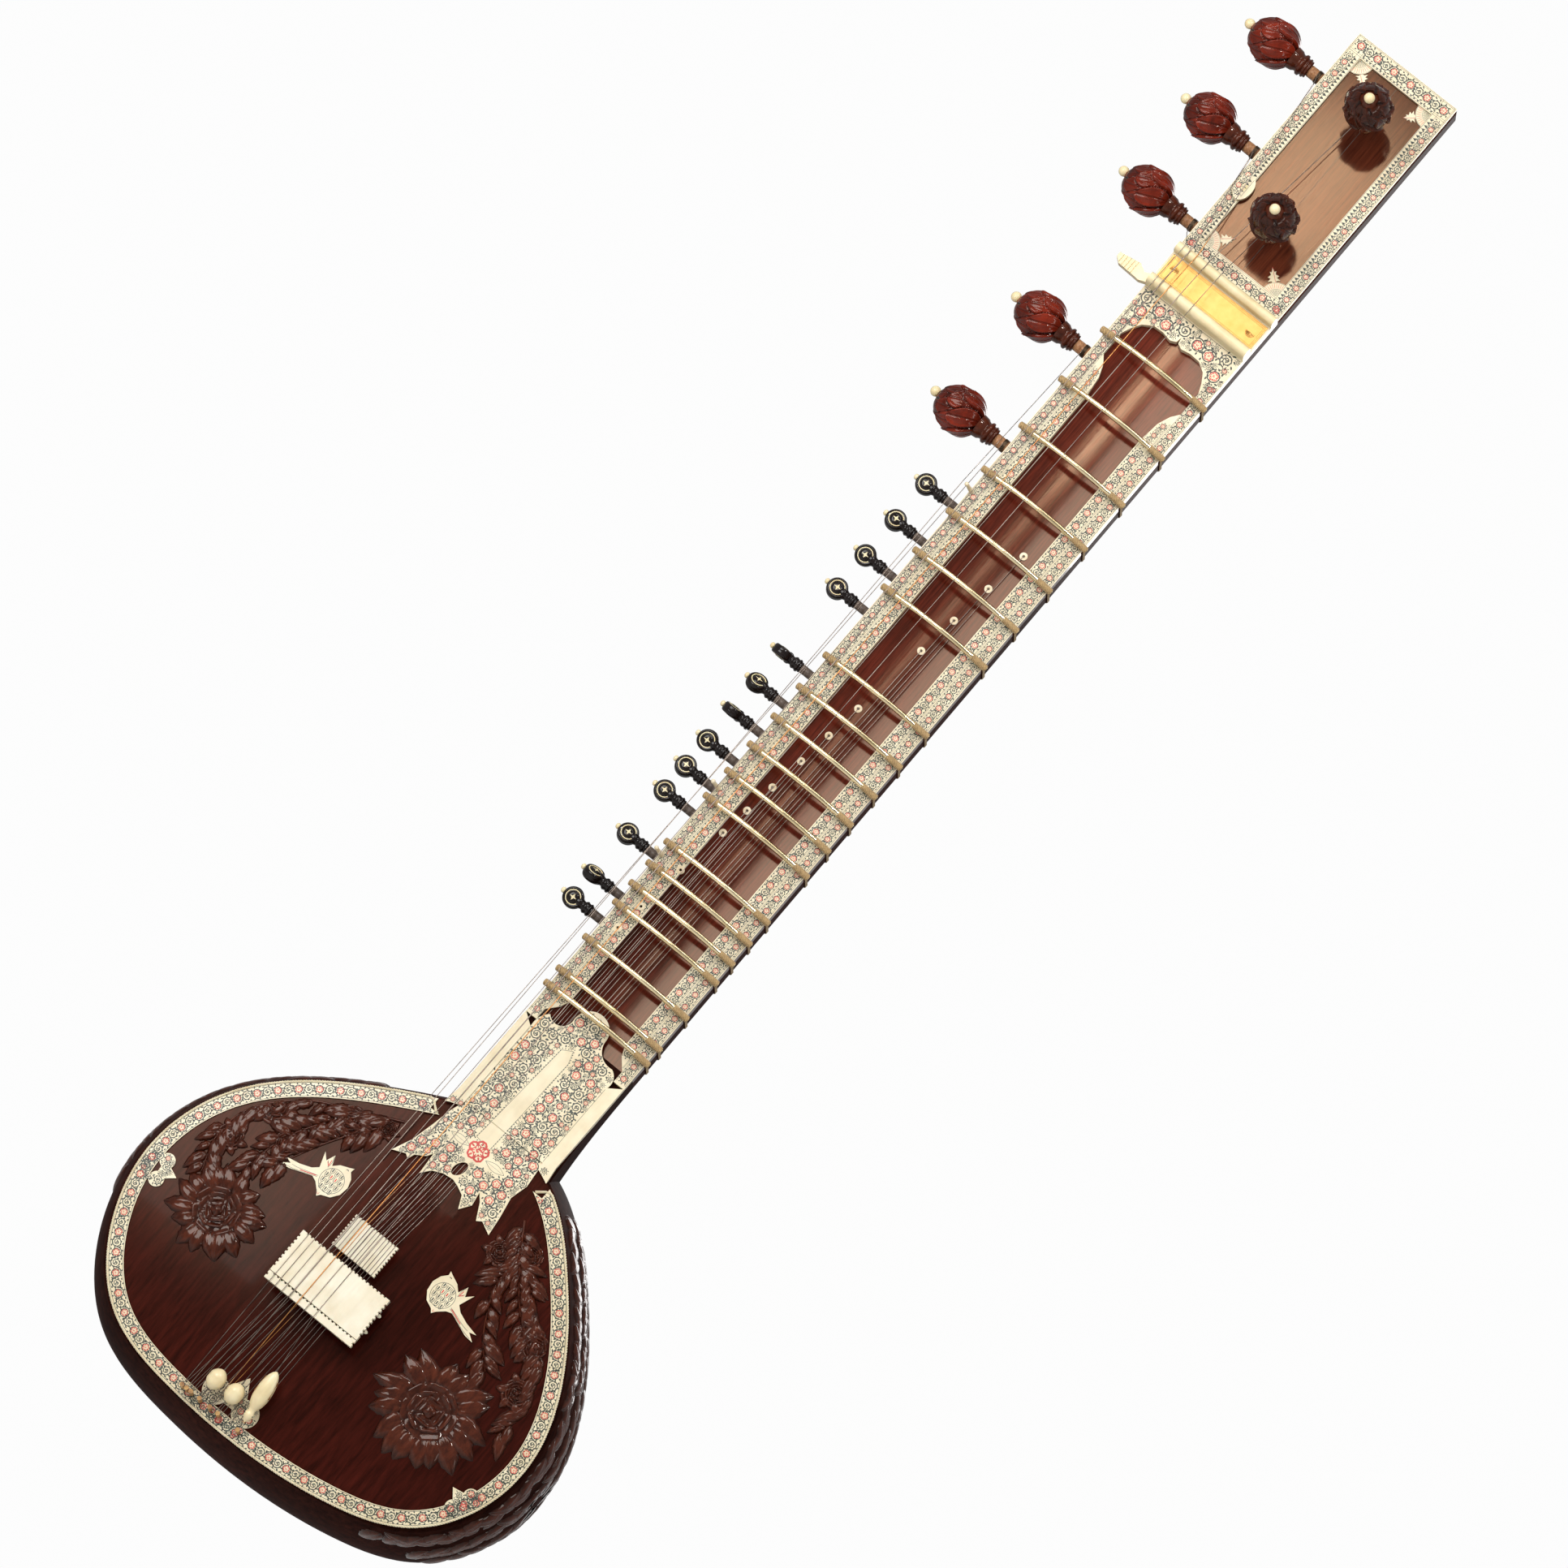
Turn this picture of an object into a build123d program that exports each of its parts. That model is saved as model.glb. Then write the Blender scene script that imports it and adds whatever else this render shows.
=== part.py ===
from build123d import *
import math
import os

# A full-size sitar: hollow neck and peg head, gourd body with a domed soundboard, movable frets,
# twenty tuning pegs, two bridges, seven main strings and thirteen sympathetic strings.
#
# Frame: millimetres. +Z runs along the neck towards the peg head, +X to the right of someone who
# faces the frets, +Y away from them. The origin is on the back of the neck, under the nut.

os.makedirs("parts", exist_ok=True)

# ---------------------------------------------------------------- driving dimensions
SCALE_LENGTH = 885.0
NECK_WIDTH = 86.0
NECK_DEPTH = 50.0
NECK_WALL = 9.0
NECK_END = -655.0
HEAD_TOP = 229.0
HEAD_START = 34.0

FACE = -NECK_DEPTH
HALF_NECK = NECK_WIDTH / 2
SHELL_TOP = FACE + 10.0
SPRING_LINE = -24.0
HOLLOW_BACK = -8.0
HOLLOW_END = HEAD_TOP - 9.0
BAND_BACK = FACE + 7.0
BAND_BOTTOM = -664.0

FINGERBOARD_EDGE = FACE + 2.5
FINGERBOARD_MIDDLE = FACE + 6.5
BAND_INNER_EDGE = 24.0
BAND_OUTER_STRIP = 34.0

NUT_WIDTH = 8.0
NUT_TOP = FACE - 14.0
LUG_HEIGHT = 7.0
LUG_GROOVES = 5
GUIDE_Z = 30.0
GUIDE_WIDTH = 7.0
GUIDE_TOP = FACE - 10.0

HEAD_PANEL_FRONT = FACE + 3.0
HEAD_WINDOW = (31.5, 46.0, 215.0)       # half width, lower end, upper end
HEAD_KNOB = (-34.2, 92.0, 6.3, 10.0, 3.0)       # place (x, z), half width, half length, height
FAN_RADIUS = 11.0
FAN_THICKNESS = 1.2

# Soundboard outline (x, z), clockwise from the top of the left shoulder.
BOARD_OUTLINE = [(-46, -746), (-112, -785), (-161, -834), (-179, -890), (-165, -953), (-124, -999),
                 (-62, -1015), (0, -1017), (70, -1008), (125, -985), (155, -940), (159, -895),
                 (140, -843), (98, -788), (48, -747), (0, -736)]
BODY_CENTRE = (-9.0, -885.0)
BOARD_THICKNESS = 4.0
DOME_CROWN = FACE - 10.0
DOME_RADIUS = 1366.0
EDGING_WIDTH = 11.0
EDGING_THICKNESS = 1.2
BIRD_PLACES = [(-67.5, -837.5, 1), (41.8, -849.7, -1)]      # body's middle (x, z), and which way it faces
BIRD_THICKNESS = 1.0
GOURD_WIDEST_Y = 10.0
GOURD_FRONT_RADIUS = 168.7
GOURD_BACK = 160.0
GOURD_SWELL = 1.07
GOURD_WALL = 5.0

JOINT_FACE = FACE + 4.0
PLATE_THICKNESS = 1.4
PLATE_LOW = (-48.0, -630.0)             # (y, z) on the back of the joint plate, upper end
PLATE_HIGH = (-52.8, -738.0)            # and where it meets the soundboard

MAIN_BRIDGE_X = (-56.0, 20.0)
MAIN_BRIDGE_Z = (-920.0, -879.0)
MAIN_BRIDGE_TOP = -84.0
BRIDGE_PLATE_THICKNESS = 5.0
TARAB_BRIDGE_X = (-37.0, 0.0)
TARAB_BRIDGE_Z = (-873.0, -847.0)
TARAB_BRIDGE_TOP = -74.0

# Frets: semitones above the open string, for 20 movable frets.
FRET_SEMITONES = [1, 2, 3, 4, 5, 6, 7, 9, 10, 11, 12, 13, 14, 16, 17, 18, 19, 21, 23, 24]
FRET_HALF_LENGTH = 46.0
FRET_DIAMETER = 4.0
FRET_RISE = 8.0
FRET_END_Y = FACE - 2.6
THREAD_THICKNESS = 0.7
THREAD_WIDTH = 2.4
THREAD_SLEEVE = 13.0
THREAD_GAP = 0.35

RUNNING_CLEARANCE = 0.05
PEG_Y = -27.0
MAIN_SHAFT = 9.0
MAIN_PEG_Z = [191.8, 122.0, 54.5, -62.0, -149.0]
FRONT_PEG_PLACES = [(2.0, 180.0), (2.0, 78.0)]
TARAB_PEG_Y = -29.0
TARAB_SHAFT = 6.5
TARAB_Z = [-204.5, -237.4, -269.5, -300.0, -358.5, -385.8, -411.5, -438.0, -461.5, -483.8,
           -522.8, -559.3, -580.5]
TARAB_FIRST_X = 14.0
TARAB_LAST_X = -32.0
TARAB_DISC_TURN = [0, 10, -8, 5, 82, 40, 75, -12, 8, 0, 12, 55, -6]
EYELET_DIAMETER = 5.5
EYELET_HOLE = 2.0
STRING_CHANNEL = ((-BAND_OUTER_STRIP, -BAND_INNER_EDGE), (FACE + 1.7, 0), (-700, TARAB_Z[10] + 4))

MAIN_NUT_X = [-6.0, -18.0, -27.0, -33.0, -38.0]
MAIN_BRIDGE_STRING_X = [-12.5, -20.0, -27.0, -34.0, -40.0]
CHIKARI_BRIDGE_X = [-46.0, -51.0]
MAIN_GAUGES = [0.5, 0.6, 0.7, 0.9, 0.5]
THIN_GAUGE = 0.5
REST_GAP = 0.05
MOVING_GAP = 0.35
POST_PLACES = [(-41.5, -193.0), (-41.5, -463.0), (-41.5, -523.0)]
POST_HEIGHT = 11.0
TAIL_PIN_X = [-5.0, -22.5, -29.5, -38.5, -46.0, -49.8, -53.6]
TAIL_PIN_Z = -1009.0
TAIL_PIN_RADIUS = 1.6
TAIL_PIN_TOP = -65.5
TAIL_STRING_Y = -63.5
TARAB_TAIL_Y = -57.6


# ---------------------------------------------------------------- shared helpers
def fret_places():
    """Distance of each fret below the nut, shortened a little for the pull of the string."""
    places = []
    for semitone in FRET_SEMITONES:
        effective = semitone - 0.035 * semitone - 0.0015 * semitone ** 2
        places.append(-SCALE_LENGTH * (1 - 2 ** (-effective / 12)))
    return places


def front_slab(face, back, front):
    """A flat shape drawn in (x, z), made solid between two depths."""
    return extrude(Plane.XZ.offset(-back) * face, amount=back - front, dir=(0, -1, 0))


def block(x_span, y_span, z_span):
    """A box between three pairs of limits."""
    size = [abs(span[1] - span[0]) for span in (x_span, y_span, z_span)]
    middle = [(span[1] + span[0]) / 2 for span in (x_span, y_span, z_span)]
    return Pos(*middle) * Box(*size)


def polygon(points):
    """A closed face through straight runs."""
    return make_face(Polyline(*points, close=True))


def disc(x, z, radius):
    return Pos(x, z) * Circle(radius)


def trough_section(width, top, spring, back, z):
    """Section across the neck: flat top, straight sides and a half-round back."""
    half = width / 2
    outline = [Line((half, spring), (half, top)), Line((half, top), (-half, top)),
               Line((-half, top), (-half, spring)),
               EllipticalCenterArc((0, spring), half, back - spring, start_angle=0, arc_size=180)]
    return Plane.XY.offset(z) * make_face(outline)


def fingerboard_surface(x):
    """Depth of the hollowed fingerboard at a distance x from the middle."""
    return FINGERBOARD_MIDDLE + (FINGERBOARD_EDGE - FINGERBOARD_MIDDLE) * (x / HALF_NECK) ** 2


def dome_surface(x, z):
    """Depth of the soundboard's front at (x, z)."""
    radius = math.hypot(x - BODY_CENTRE[0], z - BODY_CENTRE[1])
    return DOME_CROWN + DOME_RADIUS - math.sqrt(DOME_RADIUS ** 2 - radius ** 2)


def dome_ball(height):
    """The ball whose front is the soundboard's surface, raised by a height."""
    return Pos(BODY_CENTRE[0], DOME_CROWN + DOME_RADIUS, BODY_CENTRE[1]) * Sphere(DOME_RADIUS + height)


def on_dome(face, low, high):
    """A flat shape laid on the soundboard as a skin between two heights."""
    return (front_slab(face, -30, -90) & dome_ball(high)) - dome_ball(low)


def joint_slab(back_offset, front_offset):
    """The sloping layer of the joint plate, measured from the plate's back."""
    (y_top, z_top), (y_low, z_low) = PLATE_LOW, PLATE_HIGH
    slope = (y_low - y_top) / (z_low - z_top)
    z_start, z_stop = -625.0, -770.0

    def line(z, offset):
        return (y_top + slope * (z - z_top) + offset, z)

    corners = [line(z_start, back_offset), line(z_stop, back_offset),
               line(z_stop, front_offset), line(z_start, front_offset)]
    return extrude(Plane.YZ * polygon(corners), amount=60, both=True)


def body_outline(scale, y):
    """The body's outline, scaled about its centre, as a face at one depth."""
    cx, cz = BODY_CENTRE
    points = [(cx + (x - cx) * scale, cz + (z - cz) * scale) for x, z in BOARD_OUTLINE]
    return Plane.XZ.offset(-y) * make_face(Spline(*points, periodic=True))


def board_face(inset):
    """The soundboard's outline in (x, z), each point moved inwards by an inset."""
    moved = []
    count = len(BOARD_OUTLINE)
    for index, (x, z) in enumerate(BOARD_OUTLINE):
        before, after = BOARD_OUTLINE[index - 1], BOARD_OUTLINE[(index + 1) % count]
        run_x, run_z = after[0] - before[0], after[1] - before[1]
        length = math.hypot(run_x, run_z)
        moved.append((x - inset * run_z / length, z + inset * run_x / length))
    return make_face(Spline(*moved, periodic=True))


def tube_run(points, diameter):
    """Straight round wire between successive points."""
    runs = []
    for start, end in zip(points, points[1:]):
        start, end = Vector(*start), Vector(*end)
        plane = Plane(origin=start, z_dir=end - start)
        runs.append(extrude(plane * Circle(diameter / 2), amount=(end - start).length))
    return runs


def between(start, end, z):
    """Point on the straight line from start to end at height z."""
    share = (z - start[2]) / (end[2] - start[2])
    return tuple(a + share * (b - a) for a, b in zip(start, end))


def save(name, *solids):
    """Write one node."""
    pieces = []
    for solid in solids:
        pieces.extend(solid.solids())
    shape = pieces[0] if len(pieces) == 1 else Compound(pieces)
    export_step(shape, f"parts/{name}.step")


def tarab_x(index):
    """Distance of one sympathetic string's eyelet from the middle of the neck."""
    share = (TARAB_Z[index] - TARAB_Z[0]) / (TARAB_Z[-1] - TARAB_Z[0])
    return TARAB_FIRST_X + share * (TARAB_LAST_X - TARAB_FIRST_X)


def in_band(index):
    """Whether an eyelet sits in the decorated band instead of the bare fingerboard."""
    return tarab_x(index) < -BAND_INNER_EDGE


# ---------------------------------------------------------------- neck
def make_fingerboard():
    """Plate that closes the neck: flat below, gently hollowed above, with the eyelets' holes."""
    left_edge, right_edge = (-HALF_NECK, FINGERBOARD_EDGE), (HALF_NECK, FINGERBOARD_EDGE)
    top = ThreePointArc(left_edge, (0, FINGERBOARD_MIDDLE), right_edge)
    outline = [top, Line((HALF_NECK, FINGERBOARD_EDGE), (HALF_NECK, SHELL_TOP)),
               Line((HALF_NECK, SHELL_TOP), (-HALF_NECK, SHELL_TOP)),
               Line((-HALF_NECK, SHELL_TOP), (-HALF_NECK, FINGERBOARD_EDGE))]
    plate = extrude(Plane.XY.offset(NECK_END) * make_face(outline), amount=HEAD_START - NECK_END)
    for index, z in enumerate(TARAB_Z):
        hole = EYELET_HOLE if in_band(index) else EYELET_DIAMETER
        plate -= front_slab(disc(tarab_x(index), z, hole / 2), SHELL_TOP + 1, FACE)
    return plate


def side_bore(y, z, diameter, inner_end):
    """A peg hole from outside the left wall to a depth inside the neck."""
    bore = Circle(diameter / 2 + RUNNING_CLEARANCE)
    return extrude(Plane((inner_end, y, z), z_dir=(-1, 0, 0)) * bore, amount=inner_end + HALF_NECK + 5)


def front_bore(x, z):
    bore = Circle(MAIN_SHAFT / 2 + RUNNING_CLEARANCE)
    return extrude(Plane((x, -4, z), z_dir=(0, -1, 0)) * bore, amount=60)


def make_neck_shell():
    """The hollowed neck and peg head, one long trough with a closed end."""
    length = HEAD_TOP - NECK_END
    shell = extrude(trough_section(NECK_WIDTH, SHELL_TOP, SPRING_LINE, 0, NECK_END), amount=length)
    hollow_width = NECK_WIDTH - 2 * NECK_WALL
    hollow = trough_section(hollow_width, SHELL_TOP - 1, SPRING_LINE, HOLLOW_BACK, NECK_END - 1)
    shell -= extrude(hollow, amount=HOLLOW_END - NECK_END + 1)
    for z in MAIN_PEG_Z:
        shell -= side_bore(PEG_Y, z, MAIN_SHAFT, HALF_NECK - 4.0)
    for z in TARAB_Z:
        shell -= side_bore(TARAB_PEG_Y, z, TARAB_SHAFT, 0)
    for x, z in FRONT_PEG_PLACES:
        shell -= front_bore(x, z)
    return shell


def neck_window():
    """The bare wood seen between the neck's bands: an arch under the nut, scallops at the joint."""
    right = [(0, -17.5), (0.8, -22), (5, -24), (12, -22.5), (20, -23), (27, -27.5), (31, -34), (34, -41),
             (34, -60), (29.5, -66), (26, -75), (24, -92), (24, -640), (27, -647), (34, -655), (34, -700)]
    left = [(-x, z) for x, z in reversed(right[1:])]
    return polygon(right + left)


def make_neck_bands(fingerboard):
    """Decorated bands along both sides of the neck, joined by the arch under the nut."""
    z_top = -NUT_WIDTH / 2
    sheet = polygon([(-HALF_NECK, z_top), (HALF_NECK, z_top),
                     (HALF_NECK, BAND_BOTTOM), (-HALF_NECK, BAND_BOTTOM)])
    bands = front_slab(sheet - neck_window(), BAND_BACK, FACE) - fingerboard - block(*STRING_CHANNEL)
    for index, z in enumerate(TARAB_Z):
        if in_band(index):
            bands -= front_slab(disc(tarab_x(index), z, EYELET_DIAMETER / 2), FACE + 5, FACE - 1)
    return bands - block((-60, 60), (FACE + 4, 0), (-700, NECK_END))


def make_head_plate():
    """The polished board that covers the front of the peg head."""
    plate = block((-HALF_NECK, HALF_NECK), (SHELL_TOP, HEAD_PANEL_FRONT), (HEAD_START, HEAD_TOP))
    for x, z in FRONT_PEG_PLACES:
        plate -= front_bore(x, z)
    return plate


def make_head_border():
    half, low, high = HEAD_WINDOW
    frame = block((-HALF_NECK, HALF_NECK), (HEAD_PANEL_FRONT, FACE), (HEAD_START, HEAD_TOP))
    return frame - block((-half, half), (0, 2 * FACE), (low, high))


def make_corner_fans():
    """A scalloped fan in each corner of the peg head's panel."""
    half, low, high = HEAD_WINDOW
    quarter = Circle(FAN_RADIUS) & (Pos(FAN_RADIUS / 2, FAN_RADIUS / 2) * Rectangle(FAN_RADIUS, FAN_RADIUS))
    fans = []
    for x, z, turn in ((-half, low, 0), (half, low, 90), (half, high, 180), (-half, high, 270)):
        corner = Pos(x, z) * Rot(0, 0, turn) * quarter
        fans.append(front_slab(corner, HEAD_PANEL_FRONT, HEAD_PANEL_FRONT - FAN_THICKNESS))
    return fans


def make_head_knob():
    """The raised oval button on the inner left edge of the peg head's border."""
    x, z, half_width, half_length, height = HEAD_KNOB
    return front_slab(Pos(x, z) * Ellipse(half_width, half_length), FACE, FACE - height)


def make_label_plate(fingerboard):
    """The plain gilt plate between the nut and the string guide."""
    span = (NUT_WIDTH / 2, GUIDE_Z - GUIDE_WIDTH / 2)
    return block((-HALF_NECK, HALF_NECK), (BAND_BACK, FACE), span) - fingerboard


def cross_bar(z, width, top, fingerboard):
    """A bar across the neck with a half-round crown."""
    radius = width / 2
    section = [Line((radius, top + radius), (radius, BAND_BACK)),
               Line((radius, BAND_BACK), (-radius, BAND_BACK)),
               Line((-radius, BAND_BACK), (-radius, top + radius)),
               ThreePointArc((-radius, top + radius), (0, top), (radius, top + radius))]
    plane = Plane((-HALF_NECK, 0, z), x_dir=(0, 0, 1), z_dir=(-1, 0, 0))
    return extrude(plane * make_face(section), amount=-NECK_WIDTH) - fingerboard


def make_nut(fingerboard):
    """The nut, with a carved lug that stands out to the left."""
    bar = cross_bar(0, NUT_WIDTH, NUT_TOP, fingerboard)
    lug = polygon([(-HALF_NECK + 1, -3.6), (-48, -6), (-66, -5.2), (-70, -2), (-70, 1.5), (-54, 4.3),
                   (-48, 1), (-HALF_NECK + 1, 3.6)])
    paddle = front_slab(lug, FACE, FACE - LUG_HEIGHT)
    for index in range(LUG_GROOVES):
        x = -54.5 - 2.8 * index
        paddle -= block((x, x - 1.0), (FACE - LUG_HEIGHT + 0.7, FACE - LUG_HEIGHT - 1), (-10, 10))
    return bar + paddle


def make_string_guide(fingerboard):
    return cross_bar(GUIDE_Z, GUIDE_WIDTH, GUIDE_TOP, fingerboard)


# ---------------------------------------------------------------- body
def gourd_scale(y, back):
    """Width of the gourd at one depth, against the soundboard's outline."""
    reach = GOURD_FRONT_RADIUS if y < GOURD_WIDEST_Y else back - GOURD_WIDEST_Y
    return GOURD_SWELL * math.sqrt(1 - ((y - GOURD_WIDEST_Y) / reach) ** 2)


def gourd_solid(inset):
    """The round body as a solid, drawn in by an inset all over."""
    back = GOURD_BACK - inset
    depths = [-66, -40, -15, 10, 40, 70, 100, 122, 139, 149]
    shrink = inset / 165
    sections = []
    for y in depths:
        y_here = min(y, back - 5)
        sections.append(body_outline(gourd_scale(y_here, back) - shrink, y_here))
    tip = body_outline(gourd_scale(back - 1.5, back) - shrink, back - 1.5)
    return loft(sections + [tip])


def make_gourd_shell(outer):
    return (outer - gourd_solid(GOURD_WALL)) & dome_ball(-BOARD_THICKNESS)


def make_soundboard():
    """The domed board, with a shallow groove that lets the sympathetic strings out of the neck."""
    board = on_dome(board_face(1.0), -BOARD_THICKNESS, 0)
    groove = block((-50, 12), (-30, -90), (-806, -730)) - dome_ball(-1.2)
    return board - groove


def leaf_cusp(x, z, angle, size):
    """A pointed three-lobed ornament, as a face in (x, z)."""
    middle = polygon([(0, -0.9 * size), (1.5 * size, 0), (0, 0.9 * size)])
    lobes = disc(0.2 * size, -0.8 * size, 0.6 * size) + disc(0.2 * size, 0.8 * size, 0.6 * size)
    return Pos(x, z) * Rot(0, 0, angle) * (middle + lobes)


def make_edging():
    """The decorated band round the soundboard, with a cusp at each side and at the tail."""
    band = board_face(1.0) - board_face(1.0 + EDGING_WIDTH)
    cusps = [leaf_cusp(-163, -905, 8, 9), leaf_cusp(-22, -1000, 90, 16), leaf_cusp(142, -950, 160, 9)]
    outline = board_face(1.0)
    for cusp in cusps:
        band += cusp & outline
    keep_clear = polygon([(-49, -700), (-49, -757), (49, -757), (49, -700)])
    return on_dome(band - keep_clear, 0, EDGING_THICKNESS)


def make_neck_joint(outer_gourd):
    """The carved shoulder block that carries the neck into the gourd."""
    sections = [trough_section(NECK_WIDTH, JOINT_FACE, SPRING_LINE, 0, NECK_END),
                trough_section(NECK_WIDTH, JOINT_FACE, SPRING_LINE + 2, 12, -690),
                trough_section(NECK_WIDTH + 2, JOINT_FACE, SPRING_LINE + 8, 34, -728),
                trough_section(NECK_WIDTH + 10, JOINT_FACE, SPRING_LINE + 22, 76, -768)]
    return loft(sections) - outer_gourd


def joint_plate_outline():
    """Cusped sheet with lobes at the fret end and a straight lower edge on the soundboard."""
    start = (-33.8, -669)
    return make_face([
        ThreePointArc(start, (-32.5, -660.5), (-28.7, -655.6)),
        ThreePointArc((-28.7, -655.6), (-21, -658.5), (-14, -648.5)),
        ThreePointArc((-14, -648.5), (-3, -634), (12, -645)),
        ThreePointArc((12, -645), (17.5, -656), (28, -658.4)),
        ThreePointArc((28, -658.4), (32.5, -662), (33.8, -670)),
        Line((33.8, -670), (33.8, -738)), Line((33.8, -738), (-33.8, -738)), Line((-33.8, -738), start)])


def leaf_overlay_outline():
    """The lower end of the joint plate: curling leaves with five points."""
    points = [(-33.8, -738), (-38, -752), (-40, -764), (-44, -782), (-50, -796), (-41, -792), (-37.7, -794),
              (-36, -789), (-29, -784.5), (-26.5, -780), (-25.2, -796.5), (-20, -790), (-12.7, -786.5),
              (-5, -785.5), (0.2, -787), (6.5, -790), (11, -799), (16.3, -791), (14.5, -781), (19, -786),
              (25.3, -797.5), (28.7, -795), (38, -799.5), (36, -785), (33, -770), (36, -757), (33.8, -738)]
    return polygon(points)


def make_joint_overlay(board, outer_gourd):
    """Sheet over the joint, its leaf-shaped end on the soundboard, and an ivory strip each side."""
    plate = front_slab(joint_plate_outline(), -30, -80) & joint_slab(0, -PLATE_THICKNESS)
    sound_hole = Pos(-6.3, -777) * Rot(0, 0, -20) * Ellipse(3.8, 6.3)
    leaf = on_dome(leaf_overlay_outline() - sound_hole, 0, PLATE_THICKNESS)
    strip = polygon([(HALF_NECK, -664.1), (33.8, -670.5), (33.8, -740), (36.5, -757), (45, -750),
                     (HALF_NECK, -735)])
    thick = front_slab(strip, JOINT_FACE, -80) & joint_slab(30, -PLATE_THICKNESS - 0.6)
    strips = []
    for side in (thick, mirror(thick, Plane.YZ)):
        strips.append(side - board - leaf - outer_gourd - dome_ball(0))
    return [plate - leaf, leaf] + strips


def make_carved_leaves():
    """Rose sprays in low relief on both shoulders of the soundboard."""
    left = [(-114, -905, 36), (-134, -868, 16), (-132, -820, 14), (-104, -812, 12), (-78, -796, 11),
            (-119, -842, 12)]
    right = [(85, -917, 43), (112, -864, 15), (118, -838, 12), (88, -840, 13), (64, -806, 13),
             (72, -826, 9)]
    sprays = []
    for spray in (left, right):
        outline = disc(*spray[0])
        for x, z, radius in spray[1:]:
            outline += disc(x, z, radius)
        inner = board_face(1.0 + EDGING_WIDTH + 1.5)
        sprays.append(on_dome(outline & inner, 0, 5))
    return sprays


def make_birds():
    """Two small inlaid birds facing each other across the bridges."""
    bird = [(4, 13.5), (7, 15), (6.5, 12), (10, 8), (12, 2), (11, -5), (7, -10.5), (1, -13), (-1, -15.5),
            (-3, -12.5), (-8, -8), (-12, -6.5), (-20, -9.5), (-28, -12.5), (-35, -13), (-29, -9), (-34, -7.5),
            (-24, -5.5), (-16, -2.5), (-12, 1), (-16, 12), (-11.5, 7.5), (-9, 14), (-6, 7), (-2, 11)]
    birds = []
    for centre_x, centre_z, facing in BIRD_PLACES:
        outline = [(centre_x + facing * x, centre_z + z) for x, z in bird]
        birds.append(on_dome(polygon(outline), 0, BIRD_THICKNESS))
    return birds


# ---------------------------------------------------------------- bridges and string supports
def make_main_bridge():
    """Two-footed wooden base, open in the middle for the sympathetic strings."""
    plate_back = MAIN_BRIDGE_TOP + BRIDGE_PLATE_THICKNESS
    z_span = (MAIN_BRIDGE_Z[0] + 5, MAIN_BRIDGE_Z[1] - 5)
    base = block((MAIN_BRIDGE_X[0] + 3, MAIN_BRIDGE_X[1] - 3), (plate_back, FACE), z_span)
    opening = block((MAIN_BRIDGE_X[0] + 14, MAIN_BRIDGE_X[1] - 12), (plate_back + 4, 0), MAIN_BRIDGE_Z)
    return base - opening - dome_ball(0)


def make_bridge_plate():
    """The broad playing surface of the main bridge."""
    plate = block(MAIN_BRIDGE_X, (MAIN_BRIDGE_TOP, MAIN_BRIDGE_TOP + BRIDGE_PLATE_THICKNESS), MAIN_BRIDGE_Z)
    return fillet(plate.edges().filter_by(Axis.Y), 1.2)


def make_tarab_bridge():
    """The low bridge of the sympathetic strings: a plate on a narrower foot."""
    plate = block(TARAB_BRIDGE_X, (TARAB_BRIDGE_TOP, TARAB_BRIDGE_TOP + 3), TARAB_BRIDGE_Z)
    foot_x = (TARAB_BRIDGE_X[0] + 3, TARAB_BRIDGE_X[1] - 3)
    foot_z = (TARAB_BRIDGE_Z[0] + 4, TARAB_BRIDGE_Z[1] - 4)
    return plate + (block(foot_x, (TARAB_BRIDGE_TOP + 3, FACE), foot_z) - dome_ball(0))


def make_eyelets():
    """Ivory bushes through which the sympathetic strings come up out of the neck."""
    bushes = []
    for index, z in enumerate(TARAB_Z):
        x = tarab_x(index)
        ring = disc(x, z, EYELET_DIAMETER / 2) - disc(x, z, EYELET_HOLE / 2)
        back, front = SHELL_TOP, fingerboard_surface(x) - 0.9
        if in_band(index):
            back, front = STRING_CHANNEL[1][0], FACE - 0.6
        bushes.append(front_slab(ring, back, front))
    return bushes


def make_side_posts():
    """Tapered pins that keep the drone strings clear of the pegs."""
    posts = []
    for x, z in POST_PLACES:
        leaning = Plane((x, FACE, z), z_dir=(-0.42, -1, 0))
        cone = leaning * Pos(0, 0, POST_HEIGHT / 2) * Cone(1.8, 1.1, POST_HEIGHT)
        cone += leaning * Pos(0, 0, POST_HEIGHT) * Sphere(1.6)
        posts.append(cone - block((-60, 0), (FACE, 0), (z - 6, z + 6)))
    return posts


def make_tail_pins():
    """Hitch pins at the tail, where every string is tied."""
    pins = []
    for x in TAIL_PIN_X:
        seat = dome_surface(x, TAIL_PIN_Z) - EDGING_THICKNESS
        pin = front_slab(disc(x, TAIL_PIN_Z, TAIL_PIN_RADIUS), seat + 2, TAIL_PIN_TOP)
        pins.append(pin - dome_ball(EDGING_THICKNESS))
    return pins


# ---------------------------------------------------------------- pegs
def turned(profile):
    """A turned piece: a profile of (distance along the axis, radius), spun about the axis."""
    points = [(radius, along) for along, radius in profile]
    points = [(0, profile[0][0])] + points + [(0, profile[-1][0])]
    return revolve(Plane.XZ * polygon(points), Axis.Z)


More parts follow.
